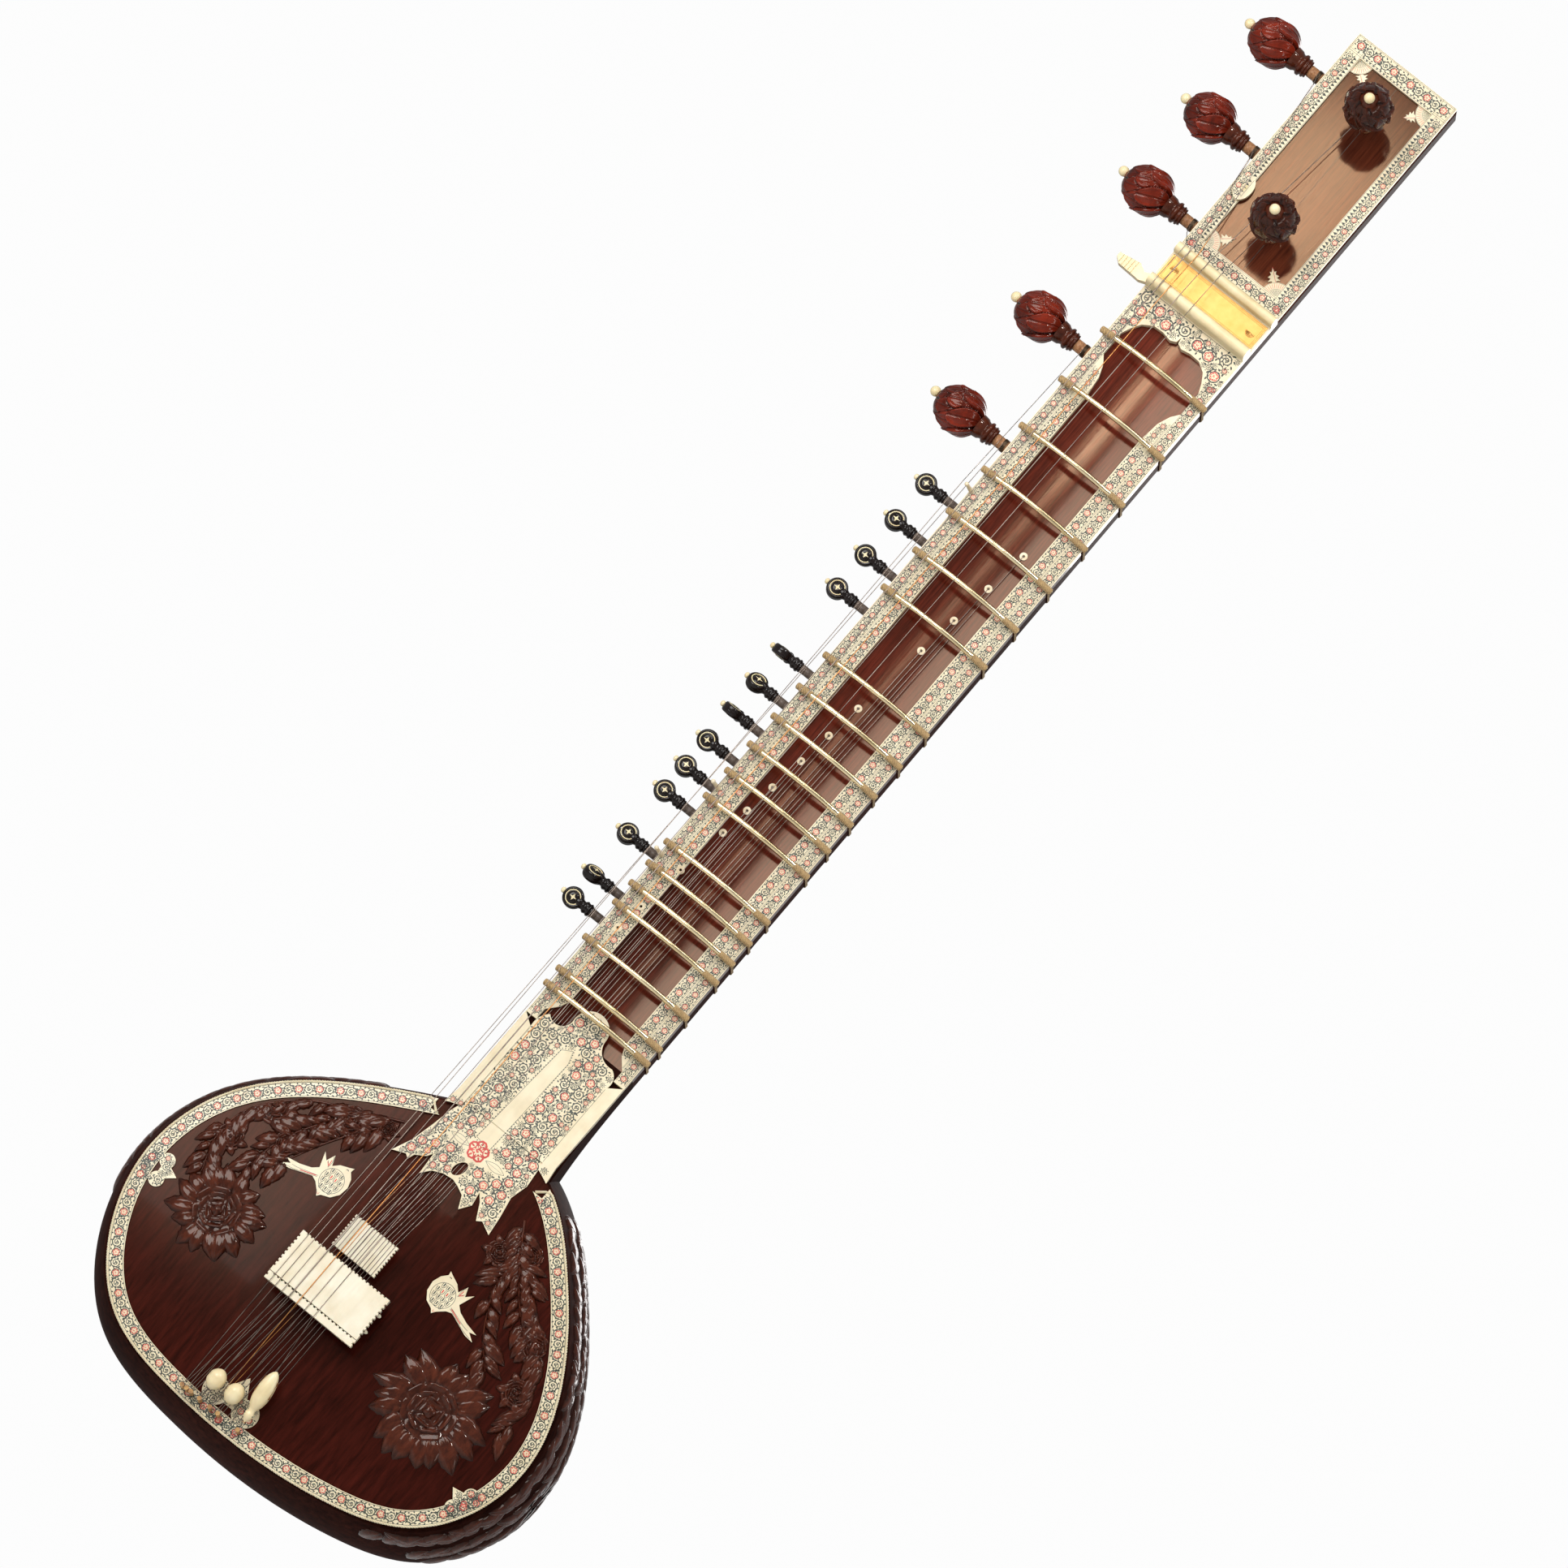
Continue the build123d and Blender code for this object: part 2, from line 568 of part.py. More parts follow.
def main_peg(buried):
    """A large lotus-headed peg along +Z; zero is the outside of the wood that it enters."""
    shaft = MAIN_SHAFT / 2
    profile = [(-buried, shaft), (13.5, shaft), (13.6, 6.2), (16, 7.4), (17.5, 6.2), (19, 8.2), (21, 8.2),
               (22.5, 6.8), (24, 7.5)]
    bulb = [(45.5 - 18.5 * math.cos(a), 18.4 * math.sin(a) ** 0.8) for a in
            [math.radians(angle) for angle in (25, 40, 60, 80, 100, 120, 140, 157)]]
    tip = [(63.5, 3.6)]
    ball = Pos(0, 0, 66.5) * Sphere(3.8)
    return turned(profile + bulb + tip) + ball


def tarab_peg(buried, turn):
    """A small peg along +Z with a flat round head, turned about its axis."""
    shaft = TARAB_SHAFT / 2
    stem = turned([(-buried, shaft), (13.5, shaft), (13.6, 4.2), (15, 4.8), (16.5, 4.2), (18, 4.6), (20, 3.4),
                   (24, 4.4), (27, 3.6)])
    head = Pos(0, 0, 29) * Rot(90, 0, 0) * Cylinder(7.8, 7.0)
    head = fillet(head.edges(), 2.2)
    boss = Pos(0, 0, 29) * Rot(90, 0, 0) * Cylinder(4.2, 8.4)
    tip = turned([(35.5, 1.8), (38, 2.2), (39.5, 1.2)])
    return Rot(0, 0, turn) * (stem + head + boss + tip)


def on_left_side(peg, y, z):
    """Put a peg into the left wall, pointing out to -X."""
    return Plane((-HALF_NECK, y, z), x_dir=(0, 0, 1), z_dir=(-1, 0, 0)) * peg


# ---------------------------------------------------------------- frets
def make_fret():
    """An arched rod tied down by thread, drawn at z = 0: returns the rod and its thread."""
    arch = ThreePointArc((-FRET_HALF_LENGTH, FRET_END_Y), (0, FRET_END_Y - FRET_RISE),
                         (FRET_HALF_LENGTH, FRET_END_Y))
    start = Plane(arch @ 0, z_dir=arch % 0)
    rod = sweep(start * Circle(FRET_DIAMETER / 2), path=arch)
    sleeve_radius = FRET_DIAMETER / 2 + THREAD_THICKNESS
    sleeve = sweep(start * Circle(sleeve_radius), path=arch)
    inner_limit = FRET_HALF_LENGTH - THREAD_SLEEVE
    sleeve -= block((-inner_limit, inner_limit), (-90, 0), (-10, 10))
    sleeve -= block((-HALF_NECK, HALF_NECK), (FACE - THREAD_GAP, 0), (-10, 10))
    clear = NECK_WIDTH + 2 * THREAD_GAP
    inside = trough_section(clear, -90, SPRING_LINE, THREAD_GAP, -THREAD_WIDTH)
    outer = trough_section(clear + 2 * THREAD_THICKNESS, FRET_END_Y, SPRING_LINE,
                           THREAD_GAP + THREAD_THICKNESS, -THREAD_WIDTH / 2)
    loop = extrude(outer, amount=THREAD_WIDTH) - extrude(inside, amount=2 * THREAD_WIDTH)
    return rod, (sleeve + loop) - rod


# ---------------------------------------------------------------- strings
def main_string_route(index):
    """Bends of one of the five strings that cross the nut, from its peg to its hitch pin."""
    gauge = MAIN_GAUGES[index]
    lift = gauge / 2 + REST_GAP
    x_nut, x_bridge = MAIN_NUT_X[index], MAIN_BRIDGE_STRING_X[index]
    guide = (x_nut, GUIDE_TOP - lift, GUIDE_Z)
    past_guide = (x_nut, GUIDE_TOP - lift, GUIDE_Z + GUIDE_WIDTH / 2 + 0.5)
    route = [past_guide, guide, (x_nut, NUT_TOP - lift, 0),
             (x_bridge, MAIN_BRIDGE_TOP - lift, MAIN_BRIDGE_Z[1]),
             (x_bridge, MAIN_BRIDGE_TOP - lift, MAIN_BRIDGE_Z[0])]
    if index < 2:
        x_peg, z_peg = FRONT_PEG_PLACES[1 - index]
        edge = MAIN_SHAFT / 2 + MOVING_GAP + gauge / 2
        head = [(x_peg - edge, FACE - 4, z_peg)]
    else:
        z_peg = MAIN_PEG_Z[index - 2]
        head = [(-HALF_NECK - 6.5, PEG_Y - MAIN_SHAFT / 2 - MOVING_GAP - gauge / 2, z_peg),
                (-HALF_NECK - 1.4, FACE - 1.2, z_peg - 12)]
    return head + route + [main_tail_point(index)]


def main_tail_point(index):
    """Where a main or drone string reaches its hitch pin."""
    return (TAIL_PIN_X[index], TAIL_STRING_Y, TAIL_PIN_Z + TAIL_PIN_RADIUS + THIN_GAUGE)


def drone_string_route(index):
    """Bends of a drone string, which runs outside the neck from a low peg, past the side posts."""
    lift = THIN_GAUGE / 2 + REST_GAP
    x_bridge = CHIKARI_BRIDGE_X[index]
    x_peg = -HALF_NECK - 6.5
    z_peg = MAIN_PEG_Z[3 + index]
    start = (x_peg, PEG_Y - MAIN_SHAFT / 2 - MOVING_GAP - THIN_GAUGE / 2, z_peg)
    post_z = POST_PLACES[index][1]
    past_post = (-HALF_NECK - 6.3, FACE - POST_HEIGHT + 1.0, post_z)
    return [start, past_post, (x_bridge, MAIN_BRIDGE_TOP - lift, MAIN_BRIDGE_Z[1]),
            (x_bridge, MAIN_BRIDGE_TOP - lift, MAIN_BRIDGE_Z[0]), main_tail_point(5 + index)]


def tarab_route(index):
    """Bends of a sympathetic string: up through its eyelet, under the joint plate, over its bridge."""
    lift = THIN_GAUGE / 2 + REST_GAP
    x, z = tarab_x(index), TARAB_Z[index]
    spacing = (TARAB_BRIDGE_X[1] - TARAB_BRIDGE_X[0] - 5) / (len(TARAB_Z) - 1)
    x_bridge = TARAB_BRIDGE_X[1] - 2.5 - spacing * index
    top = (x, fingerboard_surface(x) - 0.9 - lift, z)
    bridge = (x_bridge, TARAB_BRIDGE_TOP - lift, TARAB_BRIDGE_Z[1])

    def passing(z_here, y_here):
        flat = between(top, bridge, z_here)
        return (flat[0], y_here, z_here)

    groove_depth = 0.6
    joint = passing(NECK_END, -47.6)
    board_top = passing(-738.0, dome_surface(-10, -738.0) + groove_depth)
    groove_end = passing(-800.0, dome_surface(-15, -800.0) + groove_depth)
    below = (x_bridge, bridge[1], TARAB_BRIDGE_Z[0])
    pin_spacing = (TAIL_PIN_X[-1] - TAIL_PIN_X[0]) / (len(TARAB_Z) - 1)
    tail = (TAIL_PIN_X[0] + pin_spacing * index, TARAB_TAIL_Y, TAIL_PIN_Z + 2 * TAIL_PIN_RADIUS)
    inside = (x, TARAB_PEG_Y - TARAB_SHAFT / 2 - MOVING_GAP - THIN_GAUGE / 2, z)
    return [inside, top, joint, board_top, groove_end, bridge, below, tail]


def make_strings():
    """All twenty strings: seven main, of which two are drones, and thirteen sympathetic."""
    runs = []
    for index, gauge in enumerate(MAIN_GAUGES):
        runs.extend(tube_run(main_string_route(index), gauge))
    for index in range(2):
        runs.extend(tube_run(drone_string_route(index), THIN_GAUGE))
    for index in range(len(TARAB_Z)):
        runs.extend(tube_run(tarab_route(index), THIN_GAUGE))
    return runs


def bead_frame(index, z):
    """Plane whose axis is a main string behind the bridge, centred at a height z."""
    tail = main_tail_point(index)
    gauge = MAIN_GAUGES[index]
    x_bridge = MAIN_BRIDGE_STRING_X[index]
    start = (x_bridge, MAIN_BRIDGE_TOP - gauge / 2 - REST_GAP, MAIN_BRIDGE_Z[0])
    centre = between(start, tail, z)
    direction = Vector(*start) - Vector(*tail)
    return Plane(centre, x_dir=Vector(1, 0, 0), z_dir=direction)


def make_almond(index, z):
    """An almond bead threaded on a main string, for fine tuning."""
    size = 12.5
    length = 16.0
    profile = [(length / 2 * math.cos(a), size / 2 * math.sin(a)) for a in
               [math.radians(angle) for angle in range(170, 0, -20)]]
    bead = turned(profile)
    bore = Cylinder(MAIN_GAUGES[index] / 2 + RUNNING_CLEARANCE, 2 * length)
    return bead_frame(index, z) * (bead - bore)


def make_bird_tuner(index, z):
    """A small swimming bird threaded on the first string."""
    length = 42.0
    half_width = 6.0
    profile = [(-21, 1.5), (-17, 3.6), (-9, half_width), (1, half_width), (8, 4.2), (12, 2.6), (15, 3.8),
               (18, 3.2), (21, 1.0)]
    bird = turned(profile)
    bore = Cylinder(MAIN_GAUGES[index] / 2 + RUNNING_CLEARANCE, 2 * length)
    return bead_frame(index, z) * (bird - bore)


# ---------------------------------------------------------------- write every node
fingerboard = make_fingerboard()
save("fingerboard", fingerboard)
save("neck_shell", make_neck_shell())
save("head_plate", make_head_plate())
save("nut", make_nut(fingerboard))
save("string_guide", make_string_guide(fingerboard))

outer_gourd = gourd_solid(0)
board = make_soundboard()
save("gourd_shell", make_gourd_shell(outer_gourd))
save("soundboard", board)
save("soundboard_edging", make_edging())
save("neck_joint", make_neck_joint(outer_gourd))
save("joint_overlay", *make_joint_overlay(board, outer_gourd))
save("carved_leaves", *make_carved_leaves())
save("celluloid_trim", make_neck_bands(fingerboard), make_head_border(), *make_corner_fans(),
     make_head_knob(), make_label_plate(fingerboard), *make_birds())
save("main_bridge", make_main_bridge())
save("bridge_plate", make_bridge_plate())
save("tarab_bridge", make_tarab_bridge())
save("string_pins", *make_eyelets(), *make_side_posts(), *make_tail_pins())
save("strings", *make_strings())

side_peg = main_peg(NECK_WIDTH - 4.5)
for number, z in enumerate(MAIN_PEG_Z, start=1):
    save(f"side_peg_{number}", on_left_side(side_peg, PEG_Y, z))
front_peg = main_peg(-FACE - 4.5)
for number, (x, z) in enumerate(FRONT_PEG_PLACES, start=1):
    save(f"front_peg_{number}", Plane((x, FACE, z), x_dir=(1, 0, 0), z_dir=(0, -1, 0)) * front_peg)
for number, z in enumerate(TARAB_Z, start=1):
    buried = HALF_NECK + tarab_x(number - 1) + 3.0
    peg = tarab_peg(buried, TARAB_DISC_TURN[number - 1])
    save(f"tarab_peg_{number:02d}", on_left_side(peg, TARAB_PEG_Y, z))

rod, thread = make_fret()
for number, z in enumerate(fret_places(), start=1):
    save(f"fret_{number:02d}", Pos(0, 0, z) * rod, Pos(0, 0, z) * thread)

save("tuning_bird", make_bird_tuner(0, -983.0))
save("tuning_bead_1", make_almond(1, -992.0))
save("tuning_bead_2", make_almond(3, -992.0))
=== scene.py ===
"""Looks of a sitar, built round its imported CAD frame: +Z to the peg head, -Y out of the frets.

Shapes are worked out in millimetres and turned into metres where a mesh is made.
"""
import random
from math import asin, atan2, cos, exp, hypot, pi, radians, sin, sqrt

import bpy
from mathutils import Matrix, Vector
from mathutils.bvhtree import BVHTree


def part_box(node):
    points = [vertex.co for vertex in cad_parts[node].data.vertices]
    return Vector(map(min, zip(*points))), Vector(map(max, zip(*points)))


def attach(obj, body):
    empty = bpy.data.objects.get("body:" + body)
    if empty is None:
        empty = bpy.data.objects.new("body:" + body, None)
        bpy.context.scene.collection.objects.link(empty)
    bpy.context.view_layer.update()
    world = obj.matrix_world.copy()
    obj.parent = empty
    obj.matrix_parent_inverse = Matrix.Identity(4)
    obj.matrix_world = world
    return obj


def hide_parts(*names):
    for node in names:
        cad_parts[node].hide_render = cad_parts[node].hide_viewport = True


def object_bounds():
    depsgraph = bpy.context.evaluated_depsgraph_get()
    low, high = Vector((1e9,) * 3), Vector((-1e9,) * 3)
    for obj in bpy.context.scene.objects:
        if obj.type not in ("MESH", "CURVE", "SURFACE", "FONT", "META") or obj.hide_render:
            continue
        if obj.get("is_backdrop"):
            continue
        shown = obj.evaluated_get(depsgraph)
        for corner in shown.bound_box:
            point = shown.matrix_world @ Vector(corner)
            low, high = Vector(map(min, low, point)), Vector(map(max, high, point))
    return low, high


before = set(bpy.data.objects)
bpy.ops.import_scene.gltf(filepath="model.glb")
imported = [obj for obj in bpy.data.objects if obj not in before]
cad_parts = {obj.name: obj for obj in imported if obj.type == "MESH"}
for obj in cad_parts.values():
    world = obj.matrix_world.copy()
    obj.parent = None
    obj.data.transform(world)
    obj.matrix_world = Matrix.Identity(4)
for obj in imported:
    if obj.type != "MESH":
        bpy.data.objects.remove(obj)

CAD_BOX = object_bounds()
MM = 0.001
WARM = (1.0, 0.72, 0.5)       # tint of the varnish's shine
INK, RED = 0, 1               # places in INKS
SWING, TILT, ROLL = 0.1578, -0.17, 0.7056     # camera's turn about +Z, tilt and roll, in radians
BEHIND = Vector((-sin(SWING) * cos(TILT), cos(SWING) * cos(TILT), -sin(TILT)))
FACE_Y = -50.0                # front of the neck
WALL_X = -43.0                # side of the neck that the pegs go through
BODY_MIDDLE_Z = -885.0        # middle of the rounded body
SIDE_PEGS, FRONT_PEGS, TARAB_PEGS, FRETS = 5, 2, 13, 20


# ---------------------------------------------------------------- meshes
def piece(name, verts, faces, materials, body="root", slot=None, stands_for=(), inks=None,
          smooth=True, relief=None):
    """A mesh from millimetre points, riding on a body.

    inks gives each face's material, relief each point's height, which the carved materials turn
    into painted shade in the hollows.
    """
    mesh = bpy.data.meshes.new(name)
    mesh.from_pydata([tuple(c * MM for c in v) for v in verts], [], faces)
    for material in materials:
        mesh.materials.append(material)
    if inks:
        mesh.polygons.foreach_set("material_index", inks)
    mesh.polygons.foreach_set("use_smooth", [smooth] * len(mesh.polygons))
    if relief:
        mesh.attributes.new("relief", "FLOAT", "POINT").data.foreach_set("value", relief)
    mesh.update()
    made = bpy.data.objects.new(name, mesh)
    bpy.context.scene.collection.objects.link(made)
    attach(made, body)
    if stands_for:
        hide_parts(*stands_for)
    return made


def box_mm(node):
    """Lowest and highest corner of a CAD node, in millimetres."""
    low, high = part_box(node)
    return low / MM, high / MM


def middle_mm(node):
    """Middle of a CAD node's box, in millimetres."""
    return [(a + b) / 2 for a, b in zip(*box_mm(node))]


def circle(count):
    """Angles at even steps round a full turn."""
    return [2 * pi * k / count for k in range(count)]


def polar(x, z, radius, angle):
    """The (x, z) point at a radius and an angle from another."""
    return (x + radius * cos(angle), z + radius * sin(angle))


def leftward(points, i):
    """Unit step to the left of a line of (x, z) points, at one of them."""
    x0, z0 = points[max(i - 1, 0)]
    x1, z1 = points[min(i + 1, len(points) - 1)]
    run = hypot(x1 - x0, z1 - z0) or 1
    return -(z1 - z0) / run, (x1 - x0) / run


class Surface:
    """The front of some CAD nodes, looked up by (x, z)."""

    def __init__(self, *nodes):
        verts, faces = [], []
        for node in nodes:
            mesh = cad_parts[node].data
            first = len(verts)
            verts += [v.co / MM for v in mesh.vertices]
            faces += [[first + i for i in p.vertices] for p in mesh.polygons]
        self.tree = BVHTree.FromPolygons(verts, faces)

    def depth(self, x, z):
        """The surface's y at (x, z), or None beside it."""
        hit = self.tree.ray_cast(Vector((x, -200, z)), Vector((0, 1, 0)))[0]
        return None if hit is None else hit.y


class Solid:
    """Vertices and faces gathered for one piece, each face with its material number."""

    def __init__(self):
        self.verts, self.faces, self.inks, self.relief = [], [], [], []

    def grid(self, rows, ink=0, closed=False, relief=None):
        """Quads between rows of points of equal length; closed joins each row's ends."""
        first, across = len(self.verts), len(rows[0])
        self.relief += [1.0] * (first - len(self.relief))
        flat = [1.0] * (across * len(rows))
        self.relief += [value for row in relief for value in row] if relief else flat
        for row in rows:
            self.verts += row
        steps = across if closed else across - 1
        for r in range(len(rows) - 1):
            for c in range(steps):
                a = first + r * across + c
                b = first + r * across + (c + 1) % across
                self.faces.append((a, b, b + across, a + across))
                self.inks.append(ink)

    def cap(self, row, ink=0, flip=False):
        """A flat face over a ring of points."""
        first = len(self.verts)
        self.verts += row
        ring = list(range(first, first + len(row)))
        self.faces.append(ring[::-1] if flip else ring)
        self.inks.append(ink)

    def tube(self, points, radius, sides=8, ink=0, closed=False):
        """A round tube along points; radius is a number or a function of the share along."""
        rows, count = [], len(points)
        points = [Vector(p) for p in points]
        normal = None
        for i, p in enumerate(points):
            ahead = points[(i + 1) % count] if closed or i < count - 1 else p
            behind = points[i - 1] if closed or i > 0 else p
            along = (ahead - behind).normalized()
            if normal is None:
                normal = along.orthogonal().normalized()
            normal = (normal - along * normal.dot(along)).normalized()
            side = along.cross(normal)
            r = radius(i / (count - 1)) if callable(radius) else radius
            rows.append([tuple(p + (normal * cos(a) + side * sin(a)) * r) for a in circle(sides)])
        if closed:
            rows.append(rows[0])
        self.grid(rows, ink, closed=True)
        if not closed:
            self.cap(rows[0], ink, flip=True)
            self.cap(rows[-1], ink)

    def lathe(self, profile, place, sides=48, ink=0):
        """A turned form: (along, radius) points spun about the axis, put in place by a function."""
        rows = [[place(radius * cos(a), radius * sin(a), along) for a in circle(sides)]
                for along, radius in profile]
        self.grid(rows, ink, closed=True)

    def piece(self, name, materials, **facts):
        """The gathered shape as one Blender object."""
        self.relief += [1.0] * (len(self.verts) - len(self.relief))
        return piece(name, self.verts, self.faces, materials, inks=self.inks, relief=self.relief,
                     **facts)


class Relief(Solid):
    """Fine engraved ornament dropped on to a CAD surface."""

    def __init__(self, surface):
        super().__init__()
        self.surface = surface

    def ribbon(self, points, width, ink=INK, height=0.1):
        """A low ridge along (x, z) points; width is a number or a function of the share along."""
        rows, count = [], len(points)
        for i, (x, z) in enumerate(points):
            half = (width(i / (count - 1)) if callable(width) else width) / 2
            sx, sz = [side * half for side in leftward(points, i)]
            spots = [(x + sx, z + sz), (x, z), (x - sx, z - sz)]
            depths = [self.surface.depth(*spot) for spot in spots]
            if None in depths or max(depths) - min(depths) > 1.5:
                rows.append(None)
                continue
            rows.append(len(self.verts))
            for (px, pz), y, rise in zip(spots, depths, (-0.03, height, -0.03)):
                self.verts.append((px, y - rise, pz))
        for a, b in zip(rows, rows[1:]):
            if a is not None and b is not None:
                self.faces += [(a, a + 1, b + 1, b), (a + 1, a + 2, b + 2, b + 1)]
                self.inks += [ink, ink]

    def leaf(self, x, z, angle, length, width, ink=INK):
        """A pointed leaf from (x, z) along angle."""
        steps = (0, 0.3, 0.65, 1)
        points = [polar(x, z, length * t, angle) for t in steps]
        self.ribbon(points, lambda t: width * sin(pi * min(t + 0.04, 0.99)) + 0.05, ink)

    def rose(self, x, z, radius, turn):
        """An open rose drawn with red petal lines."""
        for k in range(5):
            a = turn + k * 2 * pi / 5
            cx, cz = polar(x, z, 0.55 * radius, a)
            arc = [polar(cx, cz, 0.45 * radius, a + s) for s in (-1.9, -1.1, -0.4, 0.4, 1.1, 1.9)]
            self.ribbon(arc, 0.24 * radius, RED, 0.14)
            self.leaf(cx, cz, a, 0.4 * radius, 0.24 * radius, RED)
        spiral = [polar(x, z, radius * 0.32 * (1 - t), turn + 7 * t)
                  for t in (0, 0.2, 0.4, 0.6, 0.8)]
        self.ribbon(spiral, 0.22 * radius, RED, 0.14)

    def curl(self, x, z, radius, start, hand, dice, flower):
        """A vine scroll winding inwards from its rim, with leaflets and perhaps a rose inside."""
        turns = 1.25 if flower else 1.9
        inner = 0.62 if flower else 0.2
        spiral = []
        for k in range(19):
            t = k / 18
            a = start + hand * 2 * pi * turns * t
            r = radius * (1 - (1 - inner) * t)
            spiral.append(polar(x, z, r, a))
        self.ribbon(spiral, lambda t: radius * (0.25 - 0.09 * t))
        for k in range(8):
            a = start + hand * (0.4 + k * 0.78)
            rim, inward = polar(x, z, radius * 0.98, a), polar(x, z, radius * 0.8, a + 0.4)
            lean = a + hand * dice.uniform(0.5, 1.2)
            self.leaf(*rim, lean, radius * dice.uniform(0.4, 0.62), radius * 0.34)
            self.leaf(*inward, a + hand * 2.2, radius * 0.34, radius * 0.24)
        if flower:
            self.rose(x, z, radius * 0.62, start)
        else:
            for k in range(3):
                self.leaf(x, z, start + k * 2.1, radius * 0.4, radius * 0.28)

    def strip(self, path, width, dice, first_flower=0):
        """Scrolls of alternating hand along a path, with a rose in every second."""
        total, marks = 0, [0]
        for (x0, z0), (x1, z1) in zip(path, path[1:]):
            total += hypot(x1 - x0, z1 - z0)
            marks.append(total)
        count = max(1, round(total / (width * 0.84)))
        stretch = total / count
        place = 0
        for k in range(count):
            target = (k + 0.5) * stretch
            while marks[place + 1] < target:
                place += 1
            share = (target - marks[place]) / (marks[place + 1] - marks[place])
            (x0, z0), (x1, z1) = path[place], path[place + 1]
            x, z = x0 + (x1 - x0) * share, z0 + (z1 - z0) * share
            heading = atan2(z1 - z0, x1 - x0)
            hand = 1 if k % 2 else -1
            flower = (k + first_flower) % 2 == 0
            self.curl(x, z, width * 0.46, heading + pi, hand, dice, flower)

    def fill(self, inside, box, radii, dice, tries=4000, share=0.45):
        """Scrolls packed by dart throwing wherever inside(x, z) holds and the surface is there."""
        placed = []
        for radius in radii:
            for _ in range(tries):
                x, z = dice.uniform(box[0], box[1]), dice.uniform(box[2], box[3])
                if any((x - px) ** 2 + (z - pz) ** 2 < (0.96 * (radius + pr)) ** 2
                       for px, pz, pr in placed):
                    continue
                rim = [polar(x, z, radius, a) for a in (0, 0.8, 1.6, 2.4, 3.1, 3.9, 4.7, 5.5)]
                if all(inside(*spot) and self.surface.depth(*spot) is not None
                       for spot in rim + [(x, z)]):
                    placed.append((x, z, radius))
        for x, z, radius in placed:
            flower = radius > radii[-1] and dice.random() < share
            self.curl(x, z, radius, dice.uniform(0, 6.28), dice.choice((-1, 1)), dice, flower)


def line(start, end, step=3.0):
    """Points along a straight (x, z) line."""
    count = max(2, round(hypot(end[0] - start[0], end[1] - start[1]) / step) + 1)
    return [tuple(a + (b - a) * k / (count - 1) for a, b in zip(start, end)) for k in range(count)]


# ---------------------------------------------------------------- materials
class Shader:
    """A principled material and the few nodes that give it detail."""

    def __init__(self, name, **sockets):
        self.material = bpy.data.materials.new(name)
        self.material.use_nodes = True
        self.nodes = self.material.node_tree.nodes
        self.links = self.material.node_tree.links
        self.shader = self.nodes["Principled BSDF"]
        for socket, value in sockets.items():
            self.shader.inputs[socket.replace("_", " ")].default_value = value

    def set(self, socket, value):
        """Link a socket, or give it a plain value."""
        if isinstance(value, bpy.types.NodeSocket):
            self.links.new(value, socket)
        else:
            socket.default_value = value

    def node(self, kind, **inputs):
        """A new node with its inputs set; an underscore stands for a space in their names."""
        node = self.nodes.new("ShaderNode" + kind)
        for socket, value in inputs.items():
            self.set(node.inputs[socket.replace("_", " ")], value)
        return node

    def coords(self, stretch=(1, 1, 1)):
        """The object's own coordinates, scaled along each axis."""
        place = self.node("TexCoord").outputs["Object"]
        return self.node("Mapping", Scale=stretch, Vector=place).outputs["Vector"]

    def noise(self, scale, stretch=(1, 1, 1), detail=4.0, roughness=0.5, distortion=0.0):
        """Cloudy pattern."""
        return self.node("TexNoise", Scale=scale, Detail=detail, Roughness=roughness,
                         Distortion=distortion, Vector=self.coords(stretch)).outputs["Fac"]

    def wave(self, scale, distortion):
        """Diagonal bands."""
        node = self.node("TexWave", Scale=scale, Distortion=distortion, Vector=self.coords())
        node.bands_direction = "DIAGONAL"
        return node.outputs["Fac"]

    def ramp(self, source, *stops):
        """Colours at (position, colour) stops."""
        node = self.nodes.new("ShaderNodeValToRGB")
        elements = node.color_ramp.elements
        elements[0].position, elements[0].color = stops[0][0], (*stops[0][1], 1)
        elements[1].position, elements[1].color = stops[-1][0], (*stops[-1][1], 1)
        for position, color in stops[1:-1]:
            elements.new(position).color = (*color, 1)
        self.links.new(source, node.inputs["Fac"])
        return node.outputs["Color"]

    def mix(self, factor, a, b, blend="MIX"):
        """Two colours mixed."""
        node = self.node("Mix")
        node.data_type = "RGBA"
        node.blend_type = blend
        for socket, value in ((node.inputs[0], factor), (node.inputs[6], a), (node.inputs[7], b)):
            self.set(socket, value)
        return node.outputs[2]

    def math(self, operation, a, b):
        """Two values combined."""
        node = self.node("Math")
        node.operation = operation
        for socket, value in zip(node.inputs, (a, b)):
            self.set(socket, value)
        return node.outputs[0]

    def within(self, axis, low, high, soft=0.0004):
        """1 where the object's own coordinate along an axis lies between two limits, in metres."""
        along = self.nodes.new("ShaderNodeSeparateXYZ")
        self.links.new(self.coords(), along.inputs[0])
        steps = [self.node("MapRange", From_Min=limit - soft, From_Max=limit + soft, To_Min=before,
                           To_Max=1 - before, Value=along.outputs[axis]).outputs["Result"]
                 for limit, before in ((low, 0), (high, 1))]
        return self.math("MULTIPLY", *steps)

    def color(self, source):
        """Base colour from a pattern."""
        self.links.new(source, self.shader.inputs["Base Color"])

    def rough(self, source, low, high):
        """Roughness between two values, driven by a pattern."""
        node = self.node("MapRange", To_Min=low, To_Max=high, Value=source)
        self.links.new(node.outputs["Result"], self.shader.inputs["Roughness"])

    def bump(self, source, strength, distance=0.0003):
        """Fine unevenness from a pattern."""
        node = self.node("Bump", Strength=strength, Distance=distance, Height=source)
        self.links.new(node.outputs["Normal"], self.shader.inputs["Normal"])


